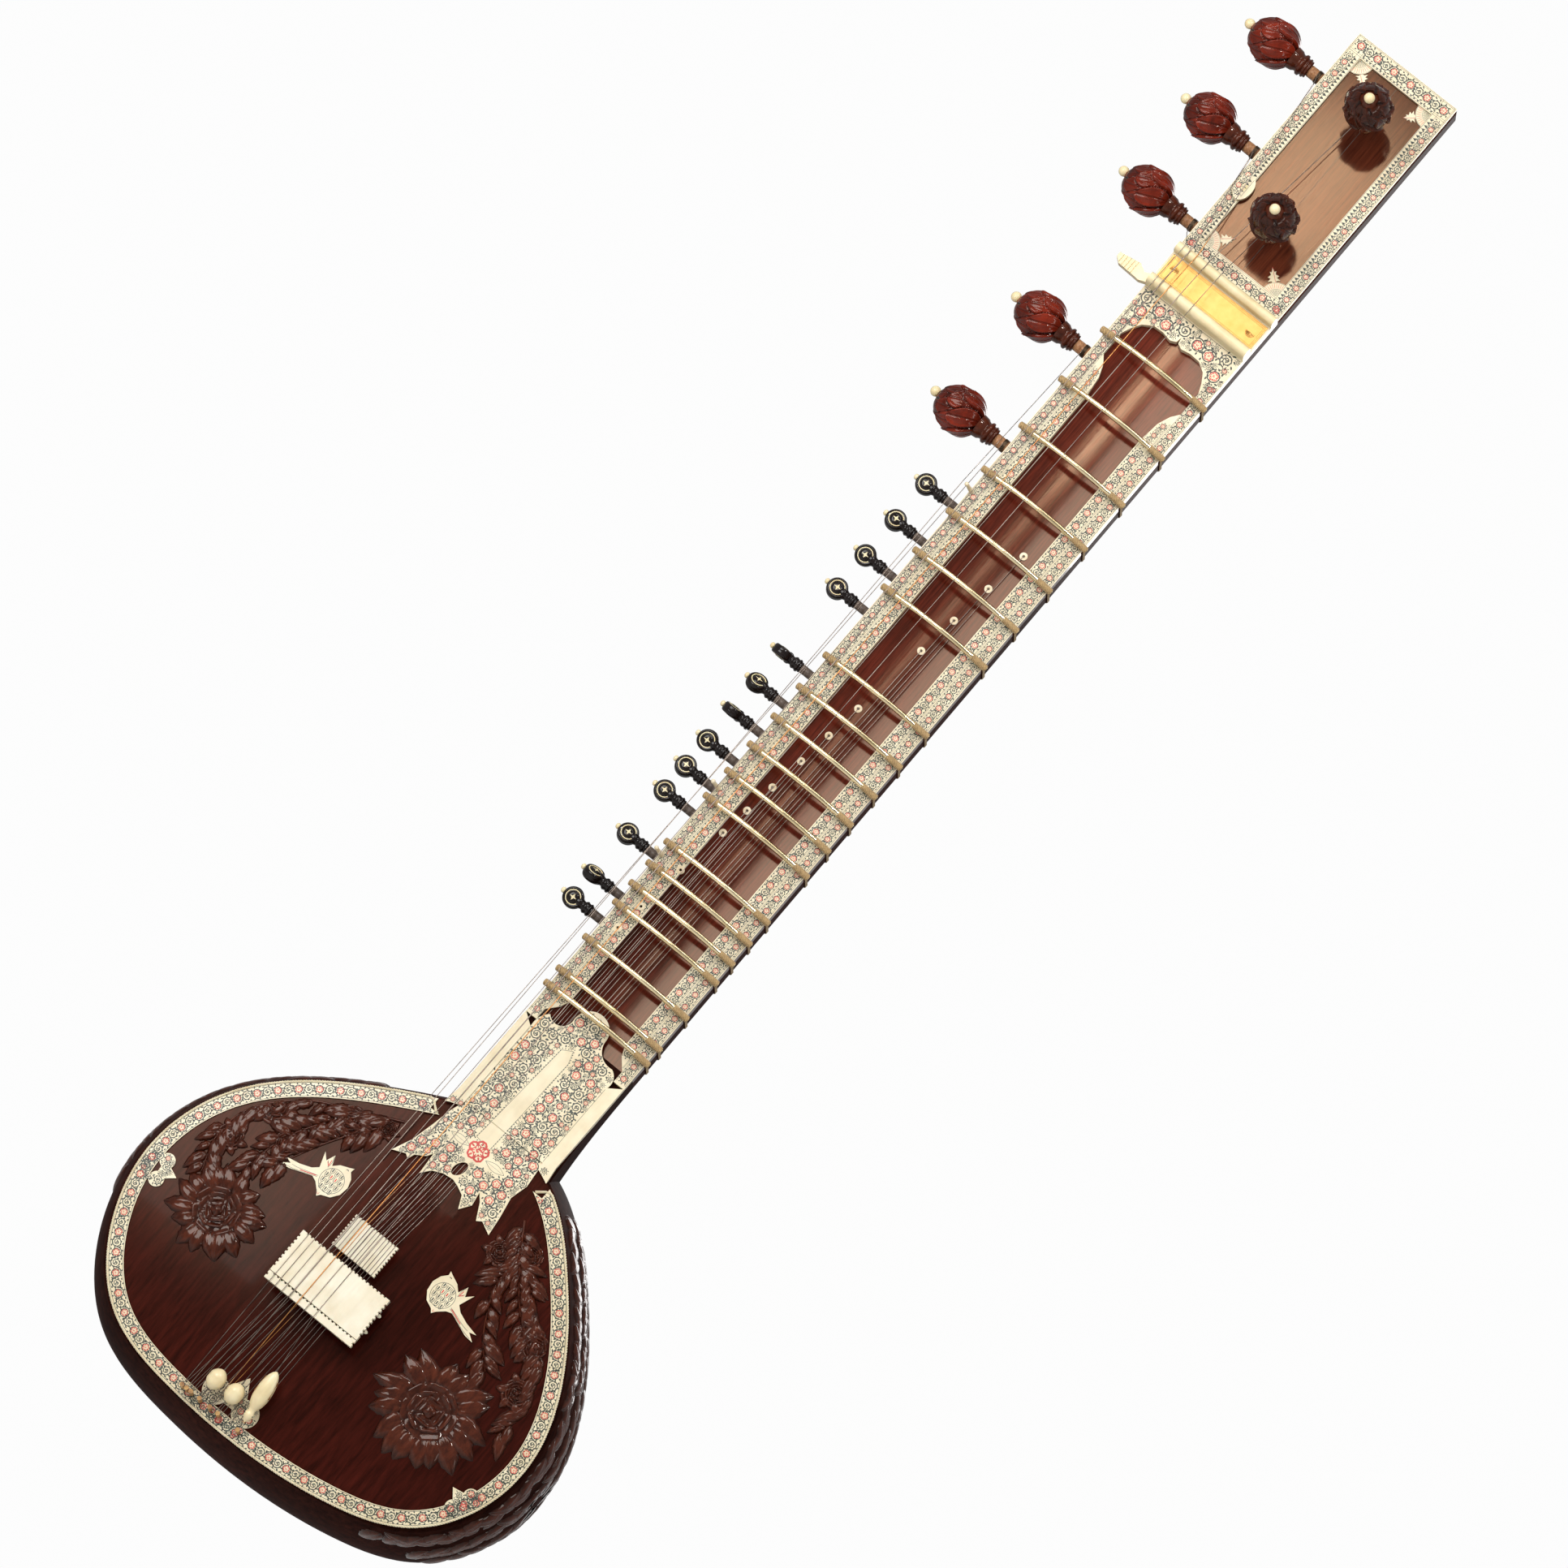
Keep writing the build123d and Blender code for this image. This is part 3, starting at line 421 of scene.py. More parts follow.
def lacquer(name, dark, light, roughness, grain, index, tint=(1, 1, 1), coat=0.3, polished=None):
    """Polished wood: long grain and cloudy stain under a clear coat.

    index is the varnish's and tint the colour of its shine; polished is how far from the middle,
    in metres across the neck, the shine goes.
    """
    s = Shader(name, IOR=index, Specular_Tint=(*tint, 1), Coat_Weight=coat, Coat_Roughness=0.04,
               Coat_IOR=1.15)
    fibre = s.noise(9.0, grain, detail=8.0, roughness=0.62, distortion=0.35)
    cloud = s.noise(7.0, (1, 1, 0.6), detail=3.0)
    tone = s.ramp(fibre, (0.3, dark), (0.72, light))
    shade = s.ramp(cloud, (0.3, (0.55, 0.5, 0.5)), (0.7, (1.15, 1.1, 1.1)))
    s.color(s.mix(1.0, tone, shade, "MULTIPLY"))
    s.rough(cloud, *roughness)
    s.bump(fibre, 0.06)
    if polished:
        front = s.math("MULTIPLY", s.within("X", -polished, polished, 0.0001), 0.5)
        s.links.new(front, s.shader.inputs["Specular IOR Level"])
    return s.material


def carved_wood(name, dark, light, roughness=(0.1, 0.2), grain=(30, 30, 12)):
    """Lacquered carving: the same polish, with painted shade darkening its hollows."""
    s = Shader(name, IOR=1.2, Specular_Tint=(*WARM, 1), Coat_Weight=0.7, Coat_Roughness=0.06,
               Coat_IOR=1.34)
    fibre = s.noise(9.0, grain, detail=8.0, roughness=0.6, distortion=0.3)
    # painted shade: the relief height darkens the low parts of the carving
    height = s.nodes.new("ShaderNodeAttribute")
    height.attribute_name = "relief"
    painted_hollow_shade = s.ramp(height.outputs["Fac"], (0.1, (0.16, 0.14, 0.14)), (0.8, (1, 1, 1)))
    s.color(s.mix(1.0, s.ramp(fibre, (0.3, dark), (0.72, light)), painted_hollow_shade, "MULTIPLY"))
    s.rough(fibre, *roughness)
    s.bump(fibre, 0.08)
    return s.material


def celluloid(name, base, deep):
    """Aged ivory-coloured sheet: faint clouds, hair scratches and a soft shine."""
    s = Shader(name, Subsurface_Weight=0.08, Subsurface_Scale=0.002, Coat_Weight=0.25,
               Coat_Roughness=0.15)
    cloud = s.noise(55.0, detail=5.0)
    hair = s.noise(300.0, (1, 1, 0.12), detail=3.0)
    tone = s.ramp(cloud, (0.3, deep), (0.62, base))
    s.color(s.mix(0.12, tone, s.ramp(hair, (0.35, (0.5, 0.42, 0.27)), (0.6, base))))
    s.rough(cloud, 0.28, 0.45)
    s.bump(hair, 0.08, 0.0001)
    return s.material


def metal(name, dark, light, roughness, brush=(1, 1, 1)):
    """Worn metal, its marks drawn out along a direction by brush."""
    s = Shader(name, Metallic=1.0)
    wear = s.noise(120.0, brush, detail=6.0, roughness=0.7)
    s.color(s.ramp(wear, (0.32, dark), (0.6, light)))
    s.rough(wear, *roughness)
    s.bump(wear, 0.05, 0.0001)
    return s.material


def paint(name, dark, light):
    """Ink rubbed into engraved lines."""
    s = Shader(name, Coat_Weight=0.2)
    blot = s.noise(260.0, detail=3.0)
    s.color(s.ramp(blot, (0.35, dark), (0.65, light)))
    s.rough(blot, 0.35, 0.55)
    return s.material


def thread(name, dark, light):
    """Tightly laid tying thread."""
    s = Shader(name, Sheen_Weight=0.2)
    lay = s.wave(420.0, 1.5)
    fuzz = s.noise(500.0, detail=4.0)
    s.color(s.mix(0.45, s.ramp(lay, (0.2, dark), (0.7, light)),
                  s.ramp(fuzz, (0.3, dark), (0.7, light))))
    s.rough(fuzz, 0.6, 0.85)
    s.bump(lay, 0.35, 0.0002)
    return s.material


def steel_and_bronze(name):
    """Wire: bright steel, with one bronze string picked out by its place across the neck."""
    s = Shader(name, Metallic=1.0)
    wear = s.noise(300.0, (1, 1, 0.1), detail=4.0)
    steel = s.ramp(wear, (0.3, (0.15, 0.12, 0.1)), (0.7, (0.38, 0.31, 0.26)))
    bronze = s.ramp(wear, (0.3, (0.42, 0.17, 0.05)), (0.7, (0.75, 0.36, 0.12)))
    third = s.within("X", -0.0287, -0.0262)
    raised = s.within("Y", -0.095, -0.0598)
    s.color(s.mix(s.math("MULTIPLY", third, raised), steel, bronze))
    s.rough(wear, 0.18, 0.36)
    return s.material


def pins_mixed(name):
    """Ivory bushes and posts, with the tail pins in brown horn."""
    s = Shader(name, Coat_Weight=0.3, Coat_Roughness=0.12)
    cloud = s.noise(180.0, detail=5.0)
    ivory = s.ramp(cloud, (0.3, (0.62, 0.47, 0.26)), (0.65, (0.86, 0.76, 0.55)))
    horn = s.ramp(cloud, (0.3, (0.24, 0.1, 0.025)), (0.7, (0.6, 0.35, 0.1)))
    s.color(s.mix(s.within("Z", -1.05, -0.96), ivory, horn))
    s.rough(cloud, 0.25, 0.45)
    return s.material


def stage_floor(name):
    """Pale, faintly clouded floor."""
    s = Shader(name)
    cloud = s.noise(1.5, detail=3.0)
    s.color(s.ramp(cloud, (0.3, (0.8, 0.795, 0.785)), (0.7, (0.84, 0.835, 0.83))))
    s.rough(cloud, 0.6, 0.75)
    return s.material


BOARD = lacquer("board_lacquer", (0.02, 0.0032, 0.0022), (0.07, 0.0105, 0.0065),
                (0.14, 0.2), (34, 34, 4), 1.2, WARM)
GOURD = lacquer("gourd_lacquer", (0.014, 0.005, 0.004), (0.05, 0.015, 0.01),
                (0.34, 0.46), (20, 20, 6), 1.03, coat=0.0)
NECK = lacquer("neck_lacquer", (0.02, 0.005, 0.003), (0.075, 0.017, 0.01),
               (0.3, 0.4), (90, 90, 4), 1.03, coat=0.0)
FRETTED = lacquer("fingerboard_lacquer", (0.045, 0.007, 0.004), (0.17, 0.026, 0.014),
                  (0.08, 0.14), (90, 90, 4), 1.42, WARM)
PANEL = lacquer("panel_lacquer", (0.04, 0.009, 0.005), (0.13, 0.032, 0.014),
                (0.08, 0.14), (70, 70, 4), 1.42, WARM, 0.0, 0.0428)
CARVED = carved_wood("carved_lacquer", (0.03, 0.007, 0.004), (0.1, 0.022, 0.01))
ROSEWOOD = carved_wood("peg_rosewood", (0.05, 0.006, 0.003), (0.26, 0.024, 0.009), (0.1, 0.18),
                       (9, 9, 5))
EBONY = lacquer("peg_ebony", (0.004, 0.003, 0.003), (0.018, 0.012, 0.011),
                (0.1, 0.2), (50, 50, 50), 1.35)
CREAM = celluloid("celluloid", (0.8, 0.71, 0.5), (0.68, 0.57, 0.36))
IVORY = celluloid("ivory", (0.86, 0.74, 0.46), (0.74, 0.58, 0.3))
BONE = celluloid("bone", (0.84, 0.78, 0.62), (0.72, 0.63, 0.44))
BRASS = metal("fret_brass", (0.56, 0.42, 0.2), (0.97, 0.83, 0.54), (0.08, 0.22), (0.1, 1, 1))
GILT = metal("gilt_plate", (0.46, 0.25, 0.07), (0.56, 0.33, 0.11), (0.28, 0.4))
WIRE = steel_and_bronze("string_wire")
PINS = pins_mixed("pins")
TAN = lacquer("peg_shaft_wood", (0.22, 0.09, 0.035), (0.55, 0.3, 0.14),
              (0.3, 0.5), (80, 80, 80), 1.3)
HORN = lacquer("brown_horn", (0.12, 0.04, 0.012), (0.45, 0.2, 0.06),
               (0.25, 0.4), (90, 90, 90), 1.35)
DARK_HORN = lacquer("ringed_shaft", (0.06, 0.045, 0.035), (0.2, 0.16, 0.13),
                    (0.3, 0.5), (90, 90, 90), 1.3)
DARK_WIRE = metal("wound_wire", (0.05, 0.035, 0.025), (0.24, 0.17, 0.11), (0.3, 0.5))
THREAD = thread("tying_thread", (0.2, 0.12, 0.045), (0.56, 0.38, 0.17))
INKS = [paint("engraved_black", (0.012, 0.018, 0.013), (0.045, 0.055, 0.04)),
        paint("engraved_red", (0.5, 0.025, 0.018), (0.68, 0.06, 0.04))]

CAD_MATERIALS = {
    "gourd_shell": GOURD, "soundboard": BOARD, "soundboard_edging": CREAM, "neck_joint": GOURD,
    "joint_overlay": CREAM, "carved_leaves": CARVED, "celluloid_trim": CREAM,
    "fingerboard": FRETTED, "neck_shell": NECK, "head_plate": PANEL, "nut": IVORY,
    "string_guide": IVORY, "main_bridge": NECK, "bridge_plate": BONE, "tarab_bridge": BONE,
    "string_pins": PINS, "strings": WIRE,
    "tuning_bird": IVORY, "tuning_bead_1": IVORY, "tuning_bead_2": IVORY,
}


def dress_cad_nodes():
    """Every carried-over CAD node gets its finished material."""
    for name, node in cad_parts.items():
        rest = BRASS if name.startswith("fret") else EBONY if name.startswith("tarab") else ROSEWOOD
        material = CAD_MATERIALS.get(name, rest)
        node.data.materials.clear()
        node.data.materials.append(material)


# ---------------------------------------------------------------- engraved celluloid
HEAD_INNER, HEAD_LOW, HEAD_HIGH = 31.5, 46.0, 215.0       # half width and ends of the head's panel


def engrave_neck():
    """Side bands of the neck: two rows of scrolls a side, parted and edged by fine lines."""
    dice = random.Random(11)
    relief = Relief(Surface("celluloid_trim"))
    for side in (-1, 1):
        for x, width in ((42.2, 0.35), (41.3, 0.25), (34.9, 0.25), (34.2, 0.3), (33.2, 0.3),
                         (32.5, 0.25), (25.0, 0.3)):
            top = -30 if x > 34 else -70
            relief.ribbon(line((side * x, top), (side * x, -662)), width)
        relief.strip(line((side * 38.1, -31), (side * 38.1, -661), 20), 6.4, dice)
        relief.strip(line((side * 28.8, -97), (side * 28.8, -646), 20), 7.2, dice, 1)
        relief.strip(line((side * 30.2, -72), (side * 28.2, -94), 5), 5.0, dice)
    relief.fill(lambda x, z: -43 < x < 43 and -36 < z < -5, (-43, 43, -36, -5),
                (5.2, 3.6, 2.4, 1.7), dice, 500)
    relief.ribbon(line((-42, -5.2), (42, -5.2)), 0.35)
    relief.piece("neck_band_engraving", INKS, slot="celluloid")


def engrave_head():
    """Border of the peg head: rows of scrolls, dentils round the panel, fans in its corners."""
    dice = random.Random(23)
    relief = Relief(Surface("celluloid_trim"))
    for side in (-1, 1):
        for x, width in ((42.3, 0.3), (41.5, 0.25), (35.0, 0.25), (31.9, 0.3)):
            relief.ribbon(line((side * x, 34.6), (side * x, 228.3)), width)
        relief.strip(line((side * 38.3, 36), (side * 38.3, 214), 20), 6.2, dice)
        for k in range(56):
            z = HEAD_LOW + 1 + 3.0 * k
            relief.ribbon([(side * 34.8, z), (side * 32.3, z)], lambda t: 2.6 * (1 - t) + 0.1, INK,
                          0.12)
    for z, width in ((35.0, 0.3), (45.4, 0.3), (44.2, 0.25), (215.8, 0.3), (217.2, 0.25),
                     (227.6, 0.25), (228.4, 0.3)):
        relief.ribbon(line((-42, z), (42, z)), width)
    relief.strip(line((-40, 39.6), (40, 39.6), 10), 7.6, dice)
    relief.strip(line((-40, 222.3), (40, 222.3), 10), 8.6, dice)
    for k in range(21):
        x = -30 + 3.0 * k
        relief.ribbon([(x, 217.0), (x, 215.6)], lambda t: 2.4 * (1 - t) + 0.1, INK, 0.12)
    for cx, cz, turn in ((-1, HEAD_LOW, 0), (1, HEAD_LOW, 90), (1, HEAD_HIGH, 180),
                         (-1, HEAD_HIGH, 270)):
        centre = (cx * HEAD_INNER, cz)
        for k in range(9):
            a = radians(turn + 6 + 78 * k / 8)
            relief.ribbon([polar(*centre, r, a) for r in (1.2, 3.4, 5.6)], lambda t: 0.12 + 0.3 * t)
            relief.ribbon([polar(*centre, r, a) for r in (6.6, 8.2, 10.2)],
                          lambda t: 0.25 + 0.5 * t * (1 - t), RED)
        for radius, width in ((6.1, 0.3), (10.7, 0.25)):
            arc = [radians(turn + 3 + 84 * k / 14) for k in range(15)]
            relief.ribbon([polar(*centre, radius, a) for a in arc], width)
    relief.piece("head_border_engraving", INKS, slot="celluloid")


def engrave_joint():
    """The joint plate's scrolls and roses round a blank cartouche, and its leaf-shaped end."""
    dice = random.Random(37)
    relief = Relief(Surface("joint_overlay"))
    card = [(0, -665.6), (3, -674.7), (0.6, -754.8), (-12.1, -752.3), (-7, -669.8)]
    plain_leaves = ((-19.5, -760.5), (11.5, -761.5))
    rose_x, rose_z = -4.7, -759.6

    def in_card(x, z, margin=1.2):
        """Whether a point is inside the cartouche's four-sided shape, grown by a margin."""
        for (x0, z0), (x1, z1) in zip(card, card[1:] + card[:1]):
            run = hypot(x1 - x0, z1 - z0)
            if ((x - x0) * (z1 - z0) - (z - z0) * (x1 - x0)) / run < -margin:
                return False
        return True

    def on_plate(x, z):
        return abs(x) < 33.2 and not in_card(x, z) and z < -636

    def on_leaf(x, z):
        plain = any(hypot((x - cx) / 9.5, (z - cz) / 4.2) < 1 for cx, cz in plain_leaves)
        near_rose = hypot(x - rose_x, z - rose_z) <= 9
        return z < -739 and not in_card(x, z) and not plain and not near_rose

    relief.fill(on_plate, (-33, 33, -739, -636), (4.4, 3.2, 2.2, 1.5), dice, 2600, 0.6)
    relief.fill(on_leaf, (-50, 40, -800, -739), (4.4, 3.2, 2.2, 1.5), dice, 2600, 0.6)
    relief.rose(rose_x, rose_z, 7.5, 0.4)
    relief.rose(rose_x, rose_z, 4.2, 1.0)
    closed = card + card[:1]
    outline = []
    for a, b in zip(closed, closed[1:]):
        outline += line(a, b, 2.0)
    relief.ribbon(outline, 0.35)
    for x, z in outline:
        out = Vector((x + 4, z + 712)).normalized()
        relief.leaf(x + 0.8 * out.x, z + 0.8 * out.y, atan2(out.y, out.x), 1.1, 0.9)
    for cx, cz in plain_leaves:
        for side in (-1, 1):
            shares = [k / 10 for k in range(11)]
            edge = [(cx - 8 + 16 * t, cz + side * 2.7 * sin(pi * t)) for t in shares]
            relief.ribbon(edge, 0.35)
        relief.ribbon(line((cx - 7.6, cz), (cx + 6, cz)), 0.2)
    for side in (-1, 1):
        relief.ribbon(line((side * 33.3, -672), (side * 33.3, -737)), 0.3)
    relief.piece("joint_engraving", INKS, slot="celluloid")


def engrave_birds():
    """Feathers, wings, tail and eye of the two inlaid birds."""
    relief = Relief(Surface("celluloid_trim"))
    for cx, cz, facing in ((-67.5, -837.5, 1), (41.8, -849.7, -1)):
        def at(x, z):
            return (cx + facing * x, cz + z)

        def stroke(points, width, ink=INK):
            relief.ribbon([at(*spot) for spot in curve(points, 5)], width, ink)

        turns = [pi * k / 15 for k in range(31)]
        relief.ribbon([at(0.5 + 8.6 * cos(a), -1.2 + 9.0 * sin(a)) for a in turns], 0.45)
        for row, columns in enumerate((3, 4, 4, 3)):
            for k in range(columns):
                x, z = 0.5 + 3.7 * (k - (columns - 1) / 2), 6.4 - 4.2 * row
                ink = RED if row == 1 and k in (1, 2) else INK
                stroke([(x - 1.3, z), (x - 1.2, z - 2.4), (x, z - 3.7), (x + 1.2, z - 2.4),
                        (x + 1.3, z)], 0.5)
                stroke([(x, z), (x, z - 2.6)], 1.1, ink)
        for end in ((-15.2, 11), (-9, 13)):
            stroke([(-7.5, 4.5), ((end[0] - 6) / 2, end[1] / 2 + 3), end], 0.35)
            stroke([(-8, 5.5), ((end[0] - 8) / 2, end[1] / 2 + 3.5)], 0.8, RED)
        stroke([(-9, -4), (-16, -6), (-24, -8.5), (-32, -9.5)], 0.35)
        stroke([(-9, -5), (-16, -7.6), (-24, -10.6), (-32, -12.3)], 0.35)
        stroke([(-10, -4.6), (-16, -6.8), (-21, -8.6)], 0.9, RED)
        stroke([(3.2, 11.2), (4.2, 11.7), (5.0, 11.2)], 0.7)
        stroke([(-2.4, -13), (-1, -14), (-0.8, -12.4)], 0.4, RED)
    relief.piece("bird_engraving", INKS, slot="celluloid")


def edging_rim(surface):
    """The edging's outer boundary as (x, z) points, looked for outwards from the middle."""
    centre = (middle_mm("soundboard")[0], BODY_MIDDLE_Z)
    rays, first_reach, step, steps = 540, 80, 0.25, 480
    rim = []
    for k in range(rays):
        a = radians(90 + k * 360 / rays)
        reach = None
        for i in range(steps):
            r = first_reach + i * step
            if surface.depth(*polar(*centre, r, a)) is not None:
                reach = r
        rim.append(None if reach is None else polar(*centre, reach, a))
    return rim


def inset(points, distance):
    """A line moved to its left by a distance."""
    moved = []
    for i, (x, z) in enumerate(points):
        left_x, left_z = leftward(points, i)
        moved.append((x + distance * left_x, z + distance * left_z))
    return moved


def smooth_line(points):
    """A line with its steps averaged out."""
    rounds = 3
    for _ in range(rounds):
        middle = [((a[0] + 2 * b[0] + c[0]) / 4, (a[1] + 2 * b[1] + c[1]) / 4)
                  for a, b, c in zip(points, points[1:], points[2:])]
        points = [points[0]] + middle + [points[-1]]
    return points


def engrave_edging():
    """Scrolls along the soundboard's edging, its cusps, and the rope binding on the outer edge."""
    dice = random.Random(41)
    surface = Surface("soundboard_edging")
    relief = Relief(surface)
    rim = edging_rim(surface)
    gaps = [i for i, spot in enumerate(rim) if spot is None]
    start = max(i for i in gaps if i < len(rim) / 2)      # the neck's gap spans the rim's start
    run = smooth_line([spot for spot in rim[start + 1:] if spot is not None])
    relief.ribbon(inset(run, 0.9), 0.4)
    relief.ribbon(inset(run, 10.1), 0.4)
    relief.strip(inset(run, 5.5), 8.4, dice)
    for cx, cz, reach in ((-163, -905, 14), (-22, -1000, 26), (142, -950, 14)):
        def near(x, z):
            return hypot(x - cx, z - cz) < reach

        box = (cx - reach, cx + reach, cz - reach, cz + reach)
        relief.fill(near, box, (3.4, 2.4, 1.6), dice, 900)
    relief.piece("edging_engraving", INKS, slot="celluloid")
    rope, strand, lay = Solid(), 0.45, 3.6
    edge = inset(run, -0.1)
    for phase in (0, pi):
        points, along = [], 0
        for (x0, z0), (x1, z1) in zip(edge, edge[1:]):
            length = hypot(x1 - x0, z1 - z0)
            for t in (0, 0.25, 0.5, 0.75):
                x, z = x0 + (x1 - x0) * t, z0 + (z1 - z0) * t
                a = phase + 2 * pi * (along + length * t) / lay
                out = Vector((z1 - z0, -(x1 - x0))).normalized()
                y = surface.depth(x - out.x * 1.5, z - out.y * 1.5)
                if y is not None:
                    points.append((x + out.x * strand * cos(a), y + 0.2 + strand * sin(a),
                                   z + out.y * strand * cos(a)))
            along += length
        rope.tube(points, 0.55, 5)
    rope.piece("edging_rope_binding", [CREAM], slot="celluloid")


# ---------------------------------------------------------------- turned and carved pegs
PEG_Y, TARAB_PEG_Y = -27.0, -29.0
BULB_MIDDLE, BULB_REACH, BULB_RADIUS = 45.5, 18.5, 18.3
TARAB_TURN = [0, 10, -8, 5, 82, 40, 75, -12, 8, 0, 12, 55, -6]


def lotus_height(across, up):
    """Height of the carved petals at an angle round the bulb and a share from stem to tip."""
    petals = 5
    tiers = ((0.25, 0.0, 0.32, 1.0), (0.45, 0.5, 0.29, 0.84), (0.64, 0.1, 0.26, 0.68),
             (0.84, 0.6, 0.26, 0.52))
    for middle, phase, tall, level in tiers:
        off = (across / (2 * pi) * petals + phase + 0.9 * (up - middle)) % 1 - 0.5
        rise = (up - middle) / tall
        if abs(rise) >= 1:
            continue
        half = 0.5 * (1 - rise ** 2) ** (0.62 if rise > 0 else 0.35)
        edge = abs(off) / half
        if edge < 1:
            round_off = min(1.0, (1 - edge) / 0.2) ** 0.6
            rim = 0.2 * exp(-((edge - 0.72) / 0.13) ** 2)
            vein = 0.2 * exp(-(off / 0.03) ** 2) + 0.03 * (1 + cos(45 * off)) * (1 - edge)
            return max(0.0, level * (0.78 + rim) * round_off - vein * level)
    return 0.05


def winding(place, radius, start, pitch, turns, steps):
    """Points of a string wound on a peg's shaft."""
    points = []
    for k in range(turns * steps + 1):
        a = 2 * pi * k / steps
        points.append(place(radius * cos(a), radius * sin(a), start + pitch * k / steps))
    return points


def main_peg(name, place, wood_material, wound_from):
    """A lotus-headed peg: ringed shaft, collar, carved bulb, ivory ball, string wound on it."""
    wood = Solid()
    rings, around = 80, 144
    rows, relief = [], []
    for r in range(rings + 1):
        up = r / rings
        a = radians(24 + 134 * up)
        along = BULB_MIDDLE - BULB_REACH * cos(a)
        base = BULB_RADIUS * sin(a) ** 0.8
        row, marks = [], []
        for k in range(around):
            turn = 2 * pi * k / around
            carved = lotus_height(turn, up)
            radius = base * (0.7 + 0.3 * carved)
            row.append(place(radius * cos(turn), radius * sin(turn), along))
            # the petal height is also the relief mark, which paints shade into the grooves between
            # petals
            marks.append(carved)
        rows.append(row)
        relief.append(marks)
    wood.grid(rows, 0, closed=True, relief=relief)
    collar = [(13.4, 4.5), (13.6, 6.0), (14.6, 6.6), (15.2, 6.1), (15.8, 7.2), (16.8, 7.4),
              (17.4, 6.2), (18.2, 7.0), (18.8, 8.1), (20.4, 8.2), (21.2, 7.6), (21.8, 6.7),
              (23.0, 6.9), (24.6, 8.0), (28.6, 8.6)]
    wood.lathe(collar, place, ink=4)
    wood.lathe([(61.2, 7.2), (62.2, 5.2), (63.4, 3.8), (64.2, 2.6), (64.4, 0.01)], place, 32)
    wood.lathe([(-30.0, 0.01), (-30.0, 4.5), (3.0, 4.5), (3.3, 4.35), (3.6, 4.5), (7.9, 4.5),
                (8.2, 4.3), (8.6, 4.5), (11.6, 4.5), (11.9, 4.35), (12.2, 4.5), (13.5, 4.5)],
               place, 40, ink=1)
    turns = [radians(a) for a in range(0, 181, 15)]
    ball = [(66.5 - 3.8 * cos(a), 3.8 * sin(a) + 0.001) for a in turns]
    wood.lathe(ball, place, 32, ink=2)
    wood.tube(winding(place, 4.78, wound_from, 0.56, 5, 24), 0.27, 6, ink=3)
    wood.piece(name + "_carved", [wood_material, TAN, IVORY, DARK_WIRE, CARVED], body=name,
               slot="peg_rosewood", stands_for=(name,))


def tarab_peg(number, height):
    """A small peg: a flat moulded disc with an ivory ring and star on each side, an ivory tip."""
    name = f"tarab_peg_{number:02d}"
    turn = radians(TARAB_TURN[number - 1])

    def place(a, b, along):
        return (WALL_X - along, TARAB_PEG_Y + b, height + a)

    def disc_place(a, b, along):
        across = a * cos(turn) - along * sin(turn)
        depth = a * sin(turn) + along * cos(turn)
        return (WALL_X - 29 - b, TARAB_PEG_Y + depth, height + across)

    peg = Solid()
    peg.lathe([(-20, 0.01), (-20, 3.25), (4, 3.25), (4.3, 3.05), (4.6, 3.25), (8, 3.25),
               (8.3, 3.05), (8.6, 3.25), (12.2, 3.25)], place, 28, ink=1)
    peg.lathe([(12, 3.2), (12.4, 3.7), (13.2, 3.9), (13.6, 3.5), (14.2, 4.5), (15.4, 4.8),
               (16.2, 4.0), (17.2, 4.1), (18.2, 4.6), (19.2, 4.2), (20.2, 3.2), (21.4, 3.4),
               (22.6, 4.2), (24.4, 4.3), (26.5, 3.4)], place, 32)
    half = [(3.9, 0.01), (4.1, 1.6), (4.0, 2.8), (3.7, 3.7), (3.2, 4.1), (3.0, 4.6), (3.3, 5.9),
            (3.5, 6.4), (3.3, 7.0), (2.6, 7.45), (1.5, 7.75), (0.6, 7.8), (0, 7.6)]
    disc = [(-w, r) for w, r in half] + [(w, r) for w, r in reversed(half[:-1])]
    peg.lathe(disc, disc_place, 44)
    star = ((2.5, 0), (0.55, 0.8), (0, 2.9), (-0.55, 0.8), (-2.5, 0), (-0.55, -0.8), (0, -2.9),
            (0.55, -0.8))
    for side in (-1, 1):
        ring = [disc_place(5.2 * cos(a), 5.2 * sin(a), side * 3.2) for a in circle(36)]
        peg.tube(ring, 0.42, 6, ink=2, closed=True)
        top = [disc_place(a, b, side * 4.12) for a, b in star]
        rim = [disc_place(a * 1.1, b * 1.1, side * 3.6) for a, b in star]
        peg.grid([rim, top] if side > 0 else [top, rim], 2, closed=True)
        peg.cap(top, 2, flip=side < 0)
    peg.lathe([(35.2, 0.9), (35.5, 1.5), (36.1, 1.2), (36.5, 1.8), (37.4, 2.2), (38.4, 2.0),
               (39.1, 1.3), (39.45, 0.01)], place, 24, ink=2)
    peg.tube(winding(place, 3.5, -16, 0.6, 4, 20), 0.25, 5, ink=3)
    peg.piece(name + "_turned", [EBONY, DARK_HORN, IVORY, DARK_WIRE], body=name, slot="peg_ebony",
              stands_for=(name,))


def make_pegs():
    """Every peg, each turned about the middle of its CAD node."""
    for number in range(1, SIDE_PEGS + 1):
        name = f"side_peg_{number}"
        z = middle_mm(name)[2]
        main_peg(name, lambda a, b, along: (WALL_X - along, PEG_Y + b, z + a), ROSEWOOD, 4.2)
    for number in range(1, FRONT_PEGS + 1):
        name = f"front_peg_{number}"
        x, _, z = middle_mm(name)
        main_peg(name, lambda a, b, along: (x + a, FACE_Y - along, z + b), CARVED, 4.9)
    for number in range(1, TARAB_PEGS + 1):
        tarab_peg(number, middle_mm(f"tarab_peg_{number:02d}")[2])


